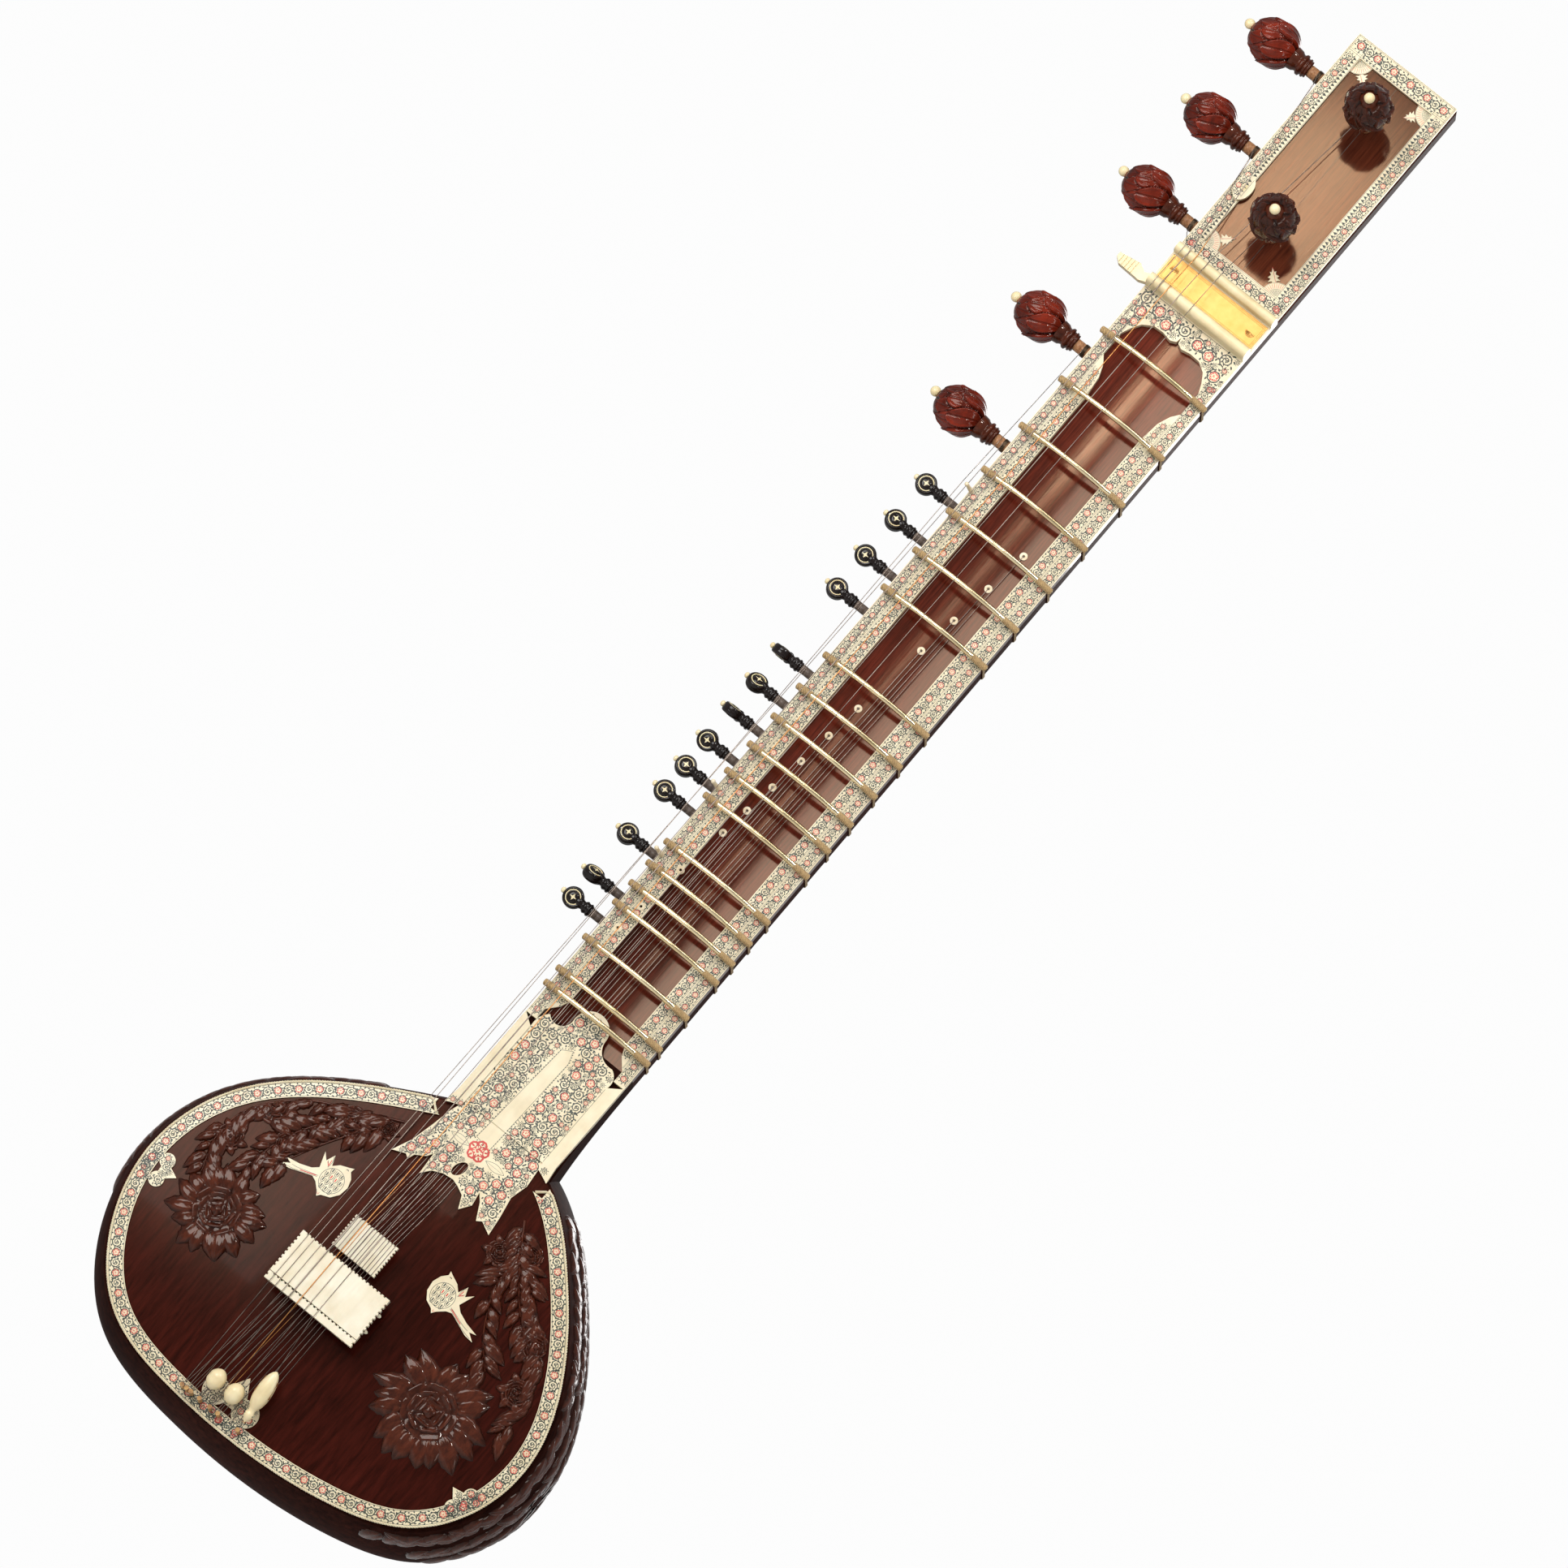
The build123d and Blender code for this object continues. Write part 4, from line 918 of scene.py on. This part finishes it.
# ---------------------------------------------------------------- frets
FRET_HALF, FRET_END_Y, FRET_RISE, FRET_RADIUS = 46.0, -52.6, 8.0, 2.0
ARC_RADIUS = (FRET_HALF ** 2 + FRET_RISE ** 2) / (2 * FRET_RISE)
TIE_START, TIE_LENGTH = 33.2, 12.4            # stretch of the rod that the thread covers
LOOP_X, LOOP_BACK, LOOP_CORNER = 43.75, 24.75, -24.0      # the thread's loop round the neck
KNOTTED_FRET = 15


def fret_point(x, z):
    """Centre of the arched rod above a place across the neck."""
    return (x, FRET_END_Y - FRET_RISE + ARC_RADIUS - sqrt(ARC_RADIUS ** 2 - x * x), z)


def rod_ring(x, z, radius, sides):
    """A ring of points square to the arched rod."""
    cx, cy, cz = fret_point(x, z)
    tilt = asin(x / ARC_RADIUS)
    return [(cx + radius * cos(a) * sin(tilt), cy - radius * cos(a) * cos(tilt),
             cz + radius * sin(a)) for a in circle(sides)]


def make_fret(number):
    """A round-ended rod, the thread over both its ends and the thread's loops round the neck."""
    name = f"fret_{number:02d}"
    z = middle_mm(name)[2]
    rod = Solid()

    def rod_radius(t):
        end = min(t, 1 - t) * 2 * FRET_HALF
        return FRET_RADIUS * min(1.0, 0.55 + 0.45 * sqrt(min(end, 1.2) / 1.2))

    spots = [-FRET_HALF, -FRET_HALF + 0.5, -FRET_HALF + 1.2]
    spots += [-44 + 88 * k / 34 for k in range(35)]
    spots += [FRET_HALF - 1.2, FRET_HALF - 0.5, FRET_HALF]
    rows = [rod_ring(x, z, rod_radius((x + FRET_HALF) / (2 * FRET_HALF)), 16) for x in spots]
    rod.grid([row[::-1] for row in rows], closed=True)
    rod.cap(rows[0])
    rod.cap(rows[-1], flip=True)
    rod.piece(f"fret_rod_{number:02d}", [BRASS], body=name, slot="brass", stands_for=(name,))

    tie = Solid()
    steps = 66
    for side in (-1, 1):
        rows = []
        for k in range(steps + 1):
            swell = 2.28 + 0.27 * abs(sin(pi * k / 4)) + (0.14 if abs(k - 30) < 4 else 0)
            r = 2.02 if k in (0, steps) else swell
            rows.append(rod_ring(side * (TIE_START + TIE_LENGTH * k / steps), z, r, 12))
        tie.grid([row[::-side] for row in rows], closed=True)
    sides = (-53.2, -45, -35, -26)
    path = [(-LOOP_X, y) for y in sides]
    for k in range(37):
        a = pi - pi * k / 36
        path.append((LOOP_X * cos(a), LOOP_CORNER + LOOP_BACK * sin(a)))
    path += [(LOOP_X, y) for y in sides[::-1]]
    for offset in (-0.8, 0, 0.8):
        tie.tube([(x, y, z + offset) for x, y in path], 0.38, 6)
    if number == KNOTTED_FRET:
        for k, size in enumerate((2.4, 2.0, 2.2)):
            cx, cy, _ = fret_point(-38 + 2.4 * k, z)
            loop = [(cx + 0.9 * sin(2 * a), cy - 1.2 - size * 0.5 * cos(a), z + 2.6 * sin(a))
                    for a in circle(20)]
            tie.tube(loop, 0.55, 6, closed=True)
    tie.piece(f"fret_thread_{number:02d}", [THREAD], body=name)


# ---------------------------------------------------------------- carving on the soundboard
class Carving(Solid):
    """Leaves and petals on a surface; rise(x, z, height) gives the point at a height over it."""

    def __init__(self, rise, blocked=lambda x, z: False):
        super().__init__()
        self.rise, self.blocked = rise, blocked

    def blade(self, x, z, angle, length, width, lift, bend=0.0, cup=False, start=0.0, notch=0.0):
        """A leaf, or a cupped petal that stands up at its outer end, from (x, z) along angle.

        bend curves it and notch scallops its edges.
        """
        steps, across = 10, 8
        rows, relief = [], []

        def at(px, pz):
            """Place on the surface of a place along and beside the blade."""
            return x + px * cos(angle) - pz * sin(angle), z + px * sin(angle) + pz * cos(angle)

        for i in range(steps + 1):
            u = i / steps
            if cup:
                flare = 0.42 + 0.58 * sin(pi * min(0.5, 0.62 * u))
                half = width / 2 * flare * sqrt(max(1 - max(u - 0.72, 0) ** 2 / 0.085, 0))
            else:
                half = width / 2 * sin(pi * u ** 0.75) ** 0.8 if 0 < u < 1 else 0.02
                half *= 1 + notch * sin(9 * pi * u)
            row, marks = [], []
            for j in range(across + 1):
                v = 2 * j / across - 1
                if cup:
                    height = lift * (0.35 + 0.65 * u ** 1.2) * (1 - 0.3 * abs(v) ** 2.5)
                    height -= 0.35 * lift * exp(-((u - 0.62) / 0.2) ** 2) * (1 - v * v)
                else:
                    crown = 0.25 + 0.75 * sin(pi * min(u * 1.1, 1.0)) ** 0.6
                    height = lift * crown * (1 - abs(v) ** 2.4)
                    height -= 0.38 * lift * exp(-(v / 0.16) ** 2) * (1 - 0.5 * u)
                if i in (0, steps) or j in (0, across):
                    height = height * 0.25 - 0.1 if cup and 0 < i < steps else -0.15
                spot = at(start + (length - start) * u, bend * length * u * u + half * v)
                row.append(self.rise(*spot, height))
                # relief mark: the blade's low parts get painted shade in the carved material
                marks.append(0.15 + 0.85 * max(0.0, min(1.0, height / lift)))
            rows.append(row)
            relief.append(marks)
        for u, v in ((0.3, 0), (0.5, -0.5), (0.5, 0.5), (0.75, -0.35), (0.75, 0.35), (1, 0)):
            if self.blocked(*at(length * u, bend * length * u * u + width * v)):
                return
        if any(spot is None for row in rows for spot in row):
            return
        self.grid([row[::-1] for row in rows], relief=[marks[::-1] for marks in relief])

    def bud(self, x, z, radius, height):
        """A twisted, lobed dome."""
        rows, relief = [], []
        turns = circle(20)
        for i in range(7):
            a = pi / 2 * i / 6
            r = radius * cos(a) + 0.01
            twist = 1.1 * i / 6
            lobes = [1 + 0.1 * cos(4 * t) for t in turns]
            row = [self.rise(x + r * cos(t + twist) * lobe, z + r * sin(t + twist) * lobe,
                             height * sin(a) - 0.1) for t, lobe in zip(turns, lobes)]
            rows.append(row[::-1])
            # relief mark: painted shade in the creases between the bud's lobes
            relief.append([0.4 + 0.6 * cos(2 * t) ** 2 for t in turns][::-1])
        self.grid(rows, closed=True, relief=relief)

    def rose(self, x, z, radius, height, dice):
        """Rings of cupped petals, highest in the middle, round a twisted bud."""
        rings = ((1.0, 9, 0.5), (0.78, 7, 0.66), (0.56, 6, 0.82), (0.36, 4, 0.94))
        for share, count, tall in rings:
            reach = share * radius
            turn = dice.uniform(0, 1)
            for k in range(count):
                a = turn + 2 * pi * k / count + dice.uniform(-0.06, 0.06)
                wide = 2 * pi * reach / count * 1.02
                self.blade(x, z, a, reach * dice.uniform(0.95, 1.03), wide, height * tall, 0.06,
                           True, start=reach * 0.25)
        self.bud(x, z, radius * 0.2, height)

    def stem(self, points, radius):
        """A half-round stem that thins along (x, z) points."""
        rows, relief = [], []
        for i, (x, z) in enumerate(points):
            sx, sz = leftward(points, i)
            r = radius * (1 - 0.5 * i / len(points))
            rows.append([self.rise(x + sx * r * cos(a), z + sz * r * cos(a), 1.5 * r * sin(a) - 0.1)
                         for a in [pi * k / 6 for k in range(7)]])
            # relief mark: painted shade along the stem's sides, where it meets the board
            relief.append([0.2, 0.5, 0.8, 1.0, 0.8, 0.5, 0.2])
        self.grid(rows, relief=relief)


def curve(points, parts=8):
    """Catmull-Rom line through (x, z) points."""
    padded = [points[0]] + list(points) + [points[-1]]
    made = []
    for p0, p1, p2, p3 in zip(padded, padded[1:], padded[2:], padded[3:]):
        for k in range(parts):
            t = k / parts
            made.append(tuple(0.5 * (2 * b + (c - a) * t + (2 * a - 5 * b + 4 * c - d) * t * t
                                     + (3 * b - a - 3 * c + d) * t ** 3)
                              for a, b, c, d in zip(p0, p1, p2, p3)))
    made.append(tuple(points[-1]))
    return made


def leafy(carving, points, dice, size, pitch, lift):
    """A stem with leaves to both sides."""
    spots = curve(points)
    carving.stem(spots, 1.1)
    travelled, side = 0.0, 1
    for (x0, z0), (x1, z1) in zip(spots, spots[1:]):
        travelled += hypot(x1 - x0, z1 - z0)
        if travelled < pitch:
            continue
        travelled = 0.0
        side = -side
        heading = atan2(z1 - z0, x1 - x0)
        length = size * dice.uniform(0.8, 1.25)
        lean = heading + side * dice.uniform(0.55, 1.05)
        carving.blade(x1, z1, lean, length, length * dice.uniform(0.46, 0.6),
                      lift * dice.uniform(0.8, 1.2), -side * dice.uniform(0.0, 0.3), notch=0.08)


def carve_sprays():
    """Rose sprays on both shoulders of the soundboard."""
    dice = random.Random(5)
    board, inlays = Surface("soundboard"), Surface("soundboard_edging", "celluloid_trim")
    ceiling = 4.9             # no carving stands higher than this

    def rise(x, z, height):
        depth = board.depth(x, z)
        return (x, (FACE_Y - 8 if depth is None else depth) - min(height, ceiling), z)

    def blocked(x, z):
        near = [(x, z), (x - 1.5, z), (x + 1.5, z), (x, z - 1.5), (x, z + 1.5)]
        return board.depth(x, z) is None or any(inlays.depth(*spot) is not None for spot in near)

    carving = Carving(rise, blocked)
    left = [((-56, -776), (-84, -790), (-116, -806), (-142, -834), (-148, -862), (-140, -888)),
            ((-84, -790), (-98, -812), (-112, -838), (-118, -868)),
            ((-60, -782), (-78, -806), (-92, -830), (-104, -856))]
    right = [((50, -776), (66, -800), (88, -826), (118, -848), (134, -872), (130, -896)),
             ((66, -800), (64, -822), (78, -852), (96, -872)),
             ((54, -782), (62, -796), (78, -806), (100, -822), (124, -846))]
    for points in left + right:
        leafy(carving, points, dice, 17, 2.7, 3.6)
    roses = ((-114, -903, 23, 36, 4.8), (85, -917, 27, 44, 4.9))
    for x, z, radius, reach, height in roses:
        for k in range(17):
            a = 2 * pi * k / 17 + dice.uniform(-0.08, 0.08)
            carving.blade(x, z, a, reach * dice.uniform(0.86, 1.04), reach * 0.4, 3.6,
                          dice.uniform(-0.22, 0.22), start=radius * 0.6, notch=0.08)
        carving.rose(x, z, radius, height, dice)
    for x, z, radius in ((-130, -822, 14), (-84, -799, 12), (112, -838, 13), (52, -804, 10),
                         (69, -792, 9), (122, -870, 11), (-108, -838, 9), (-140, -858, 10),
                         (-61, -787, 7)):
        for k in range(6):
            a = k * pi / 3 + dice.uniform(0, 0.3)
            carving.blade(x, z, a, radius * 1.4, radius * 0.7, 2.8, 0.1, start=radius * 0.5)
        carving.rose(x, z, radius, 4.6, dice)
    carving.piece("carved_rose_sprays", [CARVED], slot="board_lacquer",
                  stands_for=("carved_leaves",))


def carve_flanks():
    """Overlapping leaves carved round the gourd's shoulders."""
    dice = random.Random(8)
    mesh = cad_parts["gourd_shell"].data
    tree = BVHTree.FromPolygons([v.co / MM for v in mesh.vertices],
                                [list(p.vertices) for p in mesh.polygons])
    low, high = box_mm("gourd_shell")
    middle_x = (low.x + high.x) / 2
    around, far = 150.0, 300  # radius that arcs are measured on, and one well outside the gourd

    def rise(arc, depth, height):
        """Point over the flank at an arc round the body and a depth y."""
        a = arc / around
        out = Vector((cos(a), 0, sin(a)))
        origin = Vector((middle_x, depth, BODY_MIDDLE_Z)) + out * far
        hit, normal, _, _ = tree.ray_cast(origin, -out)
        if hit is None or (hit - origin).length > far:
            return None
        if normal.dot(out) < 0:
            normal = -normal
        top = hit + normal * height
        return (min(max(top.x, low.x + 0.1), high.x - 0.1), top.y, max(top.z, low.z + 0.1))

    carving = Carving(rise)
    pitch, rows, first_y = 11.5, 8, -38
    for first, last in ((60, -48), (121, 196)):
        sweep = last - first
        columns = round(radians(abs(sweep)) * around / 12.5)
        for row in range(rows):
            for k in range(columns):
                share = (k + 0.5 * (row % 2)) / columns
                if row > rows * sin(pi * min(1.0, share + 0.08)) ** 0.5:
                    continue
                arc = radians(first + sweep * share) * around
                lean = (0 if sweep > 0 else pi) + dice.uniform(-0.3, 0.3)
                lean += 0.6 if row % 2 else -0.6
                carving.blade(arc, pitch * row + first_y, lean, 21 * dice.uniform(0.9, 1.15), 13.0,
                              2.2, dice.uniform(-0.25, 0.25), notch=0.09)
    carving.piece("gourd_flank_carving", [CARVED], slot="gourd_lacquer")


# ---------------------------------------------------------------- bridges, beads and small fittings
def plate_outline(x_span, z_span, pitch=3.2, depth=0.9):
    """A rectangle whose neck-side and side edges are cut into small square teeth."""
    (x0, x1), (z0, z1) = x_span, z_span
    corners = [(x0, z0), (x1, z0), (x1, z1), (x0, z1)]
    outline = []
    for (ax, az), (bx, bz), toothed in zip(corners, corners[1:] + corners[:1],
                                           (False, True, True, True)):
        length = hypot(bx - ax, bz - az)
        dx, dz = (bx - ax) / length, (bz - az) / length
        outline.append((ax, az))
        if not toothed:
            continue
        count = max(1, int((length - pitch) / pitch))
        margin = (length - count * pitch) / 2
        for k in range(count):
            for s, d in ((0.25, 0), (0.25, depth), (0.75, depth), (0.75, 0)):
                along = margin + (k + s) * pitch
                outline.append((ax + dx * along - dz * d, az + dz * along + dx * d))
    return outline


def slab(solid, outline, front, back, bevel=0.35, ink=0):
    """A plate with a softened front edge, facing -Y."""
    cx = sum(x for x, _ in outline) / len(outline)
    cz = sum(z for _, z in outline) / len(outline)
    reach = max(hypot(x - cx, z - cz) for x, z in outline)
    size = 1 - bevel / reach
    shrunk = [(cx + (x - cx) * size, cz + (z - cz) * size) for x, z in outline]
    rows = [[(x, back, z) for x, z in outline], [(x, front + bevel, z) for x, z in outline],
            [(x, front, z) for x, z in shrunk]]
    solid.grid(rows, ink, closed=True)
    solid.cap(rows[-1], ink)
    solid.cap(rows[0], ink, flip=True)


def make_bridges():
    """Toothed playing plate of the main bridge with its side beads, and the small bridge's."""
    low, high = box_mm("bridge_plate")
    plate = Solid()
    slab(plate, plate_outline((low.x, high.x), (low.z + 6.2, high.z)), low.y, high.y)
    slab(plate, plate_outline((low.x, high.x), (low.z, low.z + 5.9)), low.y + 0.7, high.y)
    for z in (-891.0, -905.0):
        turns = [radians(a) for a in range(0, 91, 15)]
        bead = [(high.x - 0.5 + 2.2 * sin(a), 1.5 * cos(a) + 0.01) for a in turns]
        plate.lathe(bead, lambda a, b, along, z=z: (along, high.y + 2 + a, z + b), 16)
    plate.piece("bridge_plate_serrated", [BONE], slot="bone", stands_for=("bridge_plate",),
                smooth=False)
    low, high = box_mm("tarab_bridge")
    plate = Solid()
    slab(plate, plate_outline((low.x, high.x), (low.z, high.z), 2.6, 0.8), low.y, low.y + 3)
    x0, x1, z0, z1 = low.x + 3, high.x - 3, low.z + 4, high.z - 4
    slab(plate, [(x0, z0), (x1, z0), (x1, z1), (x0, z1)], low.y + 3, high.y)
    plate.piece("tarab_bridge_serrated", [BONE], slot="bone", stands_for=("tarab_bridge",),
                smooth=False)


BRIDGE_Y, BRIDGE_Z, TAIL_Y, TAIL_Z = -84.3, -920, -63.5, -1007       # ends of the tail strings


def bead_place(name, bridge_x, tail_x):
    """Places round a bead threaded on a string; its axis runs from the tail to the bridge."""
    low, high = box_mm(name)
    centre = (low + high) / 2
    along = Vector((bridge_x, BRIDGE_Y, BRIDGE_Z)) - Vector((tail_x, TAIL_Y, TAIL_Z))
    along = along.normalized()
    side = along.cross(Vector((0, 1, 0))).normalized()
    front = side.cross(along)
    return lambda a, b, d: tuple(centre + side * a + front * b + along * d)


def make_beads():
    """Two almond beads and the bird, each on its string."""
    for name, bridge_x, tail_x in (("tuning_bead_1", -20.0, -22.5),
                                   ("tuning_bead_2", -34.0, -38.5)):
        place = bead_place(name, bridge_x, tail_x)
        profile = []
        for k in range(25):
            a = pi * k / 24
            radius = 6.15 * sin(a) ** 1.25 + (0.45 if 0 < k < 24 else 0)
            profile.append((-7.9 * cos(a), min(radius, 6.2) + 0.01))
        bead = Solid()
        bead.lathe(profile, place, 36)
        bead.piece(name + "_almond", [IVORY], body=name, slot="bone", stands_for=(name,))
    place = bead_place("tuning_bird", -12.5, -5.0)
    bird = Solid()
    shape = ((-20.6, 0.5), (-19, 1.1), (-17, 2.4), (-15, 3.4), (-13, 3.5), (-11, 2.7), (-9, 2.9),
             (-6, 4.4), (-2, 5.6), (3, 6.0), (8, 5.9), (12, 5.2), (16, 4.0), (19, 2.4), (20.6, 0.6))
    rows = []
    for d, r in curve(shape, 4):
        row = []
        for a in circle(32):
            wing = 0.5 * exp(-(cos(a) ** 2 - 0.55) ** 2 / 0.02) if -4 < d < 17 else 0
            row.append(place((r + wing * 0.8) * cos(a), (r - 0.2 * wing) * 0.92 * sin(a), d))
        rows.append(row)
    bird.grid(rows, closed=True)
    bird.cap(rows[0], flip=True)
    bird.cap(rows[-1])
    for side in (-1, 1):
        x, y, z = place(side * 2.9, -1.6, -13.6)
        bird.tube([(x - 0.4, y, z), (x + 0.4, y - 0.2, z)], 0.45, 8, ink=1)
        for k in range(4):
            feather = [place(side * (5.9 - 0.3 * t), -2.6 + 1.2 * k + 0.3 * t, 2 + 3.2 * t)
                       for t in range(5)]
            bird.tube(feather, 0.28, 5, ink=2)
    for side in (-1, 1):
        bird.tube([place(side * 0.6, -0.4, d) for d in (-20.3, -18.4, -16.6)], 0.5, 6, ink=2)
    bird.piece("tuning_bird_carved", [IVORY, INKS[INK], HORN], body="tuning_bird", slot="bone",
               stands_for=("tuning_bird",))


def gilt_plate():
    """Plain plate between nut and guide, with two framing lines and a fan at each end."""
    plate = Solid()
    slab(plate, [(-41.5, 5.2), (41.5, 5.2), (41.5, 25.4), (-41.5, 25.4)], FACE_Y - 0.35,
         FACE_Y + 0.1, 0.15)
    y, fan_x, fan_z, fan_reach = FACE_Y - 0.36, 34, 15.3, 3.6
    for x0, x1, z0, z1 in ((-40.3, 40.3, 6.4, 24.2), (-39.2, 39.2, 7.5, 23.1)):
        corners = [(x0, y, z0), (x1, y, z0), (x1, y, z1), (x0, y, z1), (x0, y, z0)]
        for a, b in zip(corners, corners[1:]):
            plate.tube([a, b], 0.16, 6)
    for side in (-1, 1):
        for k in range(9):
            a = radians(10 + 20 * k) + (0 if side < 0 else pi)
            x, z = polar(side * fan_x, fan_z, fan_reach, a)
            plate.tube([(side * fan_x, y, fan_z), (x, y, z)], lambda t: 0.2 + 0.3 * t, 6)
    plate.piece("gilt_plate", [GILT], slot="brass")


def head_button():
    """Domed oval button, in the place of the CAD's knob."""
    x, z, half_x, half_z, rise = -34.2, 92, 6.4, 10.1, 3.05
    knob = Solid()
    rows = []
    for i in range(8):
        a = pi / 2 * i / 7
        r = cos(a) ** 0.7 if i < 7 else 0.002
        rows.append([(x + half_x * r * cos(t), FACE_Y - 0.02 - rise * sin(a),
                      z + half_z * r * sin(t)) for t in circle(40)])
    knob.grid(rows, closed=True)
    knob.piece("head_button", [IVORY], slot="bone")


def head_panel():
    """Leafy sprigs inlaid in the head panel's corners, and its glued seam."""
    sprigs, panel = Solid(), Surface("head_plate")
    start, diagonal = 10.4, 0.7071
    half = [(start, 1.0), (12.0, 1.7), (11.8, 4.4), (14.0, 2.2), (15.2, 4.0), (16.6, 1.6),
            (19.0, 2.2), (18.4, 1.0), (22.0, 0.0)]
    shape = half + [(d, -e) for d, e in reversed(half[:-1])]
    y = panel.depth(0, 130)
    for cx, cz in ((-1, 1), (1, 1), (-1, -1), (1, -1)):
        corner_z, size = (HEAD_LOW, 1.0) if cz > 0 else (HEAD_HIGH, 0.8)
        outline = []
        for d, e in shape:
            d = start + (d - start) * size
            outline.append((cx * HEAD_INNER - cx * (d - e) * diagonal,
                            corner_z + cz * (d + e) * diagonal))
        slab(sprigs, outline if cx * cz < 0 else outline[::-1], y - 0.9, y + 0.05, 0.2)
        (x0, z0), (x1, z1) = outline[0], outline[len(half) - 1]
        sprigs.tube([(x0, y - 0.9, z0), (x1, y - 0.9, z1)], 0.16, 5, ink=1)
    sprigs.piece("head_corner_sprigs", [CREAM, INKS[RED]], slot="celluloid", smooth=False)
    seam = Relief(panel)
    seam.ribbon(line((1.5, HEAD_LOW + 0.5), (1.5, HEAD_HIGH - 0.5), 4), 0.4, INK, 0.04)
    seam.piece("head_panel_seam", INKS)


# ---------------------------------------------------------------- camera, light, floor
def light_world(tree):
    """An even pale surround, whiter in a narrow field straight behind the instrument."""
    nodes, links = tree.nodes, tree.links
    coords = nodes.new("ShaderNodeTexCoord")
    split = nodes.new("ShaderNodeVectorMath")
    split.operation = "DOT_PRODUCT"
    split.inputs[1].default_value = BEHIND
    ramp = nodes.new("ShaderNodeMapRange")
    ramp.interpolation_type = "SMOOTHSTEP"
    outer, inner, around, behind = 15, 6, 0.38, 0.98      # edges in degrees, then strengths
    for socket, value in (("From Min", cos(radians(outer))), ("From Max", cos(radians(inner))),
                          ("To Min", around), ("To Max", behind)):
        ramp.inputs[socket].default_value = value
    links.new(coords.outputs["Generated"], split.inputs[0])
    links.new(split.outputs["Value"], ramp.inputs["Value"])
    links.new(ramp.outputs["Result"], nodes["Background"].inputs["Strength"])
    nodes["Background"].inputs["Color"].default_value = (1.0, 1.0, 1.0, 1)


def make_floor():
    """Pale floor well below the hanging instrument."""
    floor_z, half = -2050.0, 40000.0
    corners = [(-half, -half, floor_z), (half, -half, floor_z), (half, half, floor_z),
               (-half, half, floor_z)]
    floor = piece("floor", corners, [(0, 1, 2, 3)], [stage_floor("floor")], smooth=False)
    floor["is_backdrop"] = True


def light_studio():
    """The surround, soft panels for the lacquer, and two warm cards mirrored in the neck."""
    world = bpy.data.worlds.new("studio")
    bpy.context.scene.world = world
    world.use_nodes = True
    light_world(world.node_tree)
    middle = (CAD_BOX[0] + CAD_BOX[1]) / 2
    bounce = Vector((BEHIND.x, -BEHIND.y, BEHIND.z)) * 2.6
    white = (1, 1, 1)
    panels = (("window", middle, Vector((-1.25, -2.5, 0.45)), 1.25, 1.7, 50, white),
              ("spot", middle, Vector((0.9, -2.6, 1.9)), 0.25, 0.25, 22, white),
              ("right", middle, Vector((2.6, -1.3, 0.2)), 0.35, 1.6, 9, white),
              ("rim", middle, Vector((0.6, 2.4, 1.4)), 1.2, 1.4, 16, white),
              ("top", middle, Vector((-0.1, -1.5, 2.0)), 2.0, 0.22, 12, white),
              ("head_card", Vector((0.002, -0.045, 0.17)), bounce, 0.14, 0.42, 4.2, (1, 0.85, 0.7)),
              ("board_card", Vector((0.036, -0.045, -0.32)), bounce, 0.075, 0.66, 1.5,
               (1, 0.82, 0.68)))
    for name, target, offset, width, height, power, tint in panels:
        light = bpy.data.lights.new(name, "AREA")
        light.shape = "RECTANGLE"
        light.size, light.size_y, light.energy, light.color = width, height, power, tint
        lamp = bpy.data.objects.new(name, light)
        lamp.location = target + offset
        lamp.rotation_euler = (-offset).to_track_quat("-Z", "Y").to_euler()
        bpy.context.scene.collection.objects.link(lamp)


def aim_camera():
    """A long lens looking along BEHIND, rolled so that the neck runs up to the right."""
    distance, shift_right, shift_up, lens = 8.0, -0.0404, -0.0334, 270.4399
    level = BEHIND.cross(Vector((0, 0, 1))).normalized()
    upright = level.cross(BEHIND)
    right = level * cos(ROLL) + upright * sin(ROLL)
    up = upright * cos(ROLL) - level * sin(ROLL)
    data = bpy.data.cameras.new("camera")
    data.sensor_width = 36.0
    data.lens = lens
    data.clip_end = 60.0
    camera = bpy.data.objects.new("camera", data)
    aim = Vector((0, -0.05, -0.38))
    place = aim - BEHIND * distance + right * shift_right + up * shift_up
    turn = Matrix((right, up, -BEHIND)).transposed().to_4x4()
    camera.matrix_world = Matrix.Translation(place) @ turn
    bpy.context.scene.collection.objects.link(camera)
    bpy.context.scene.camera = camera
    bpy.context.scene.view_settings.view_transform = "Standard"


# ---------------------------------------------------------------- build
make_floor()
light_studio()
aim_camera()
dress_cad_nodes()
engrave_neck()
engrave_head()
engrave_joint()
engrave_birds()
engrave_edging()
make_pegs()
for fret_number in range(1, FRETS + 1):
    make_fret(fret_number)
carve_sprays()
carve_flanks()
make_bridges()
make_beads()
gilt_plate()
head_button()
head_panel()

[[list(corner) for corner in box] for box in (CAD_BOX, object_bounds())]
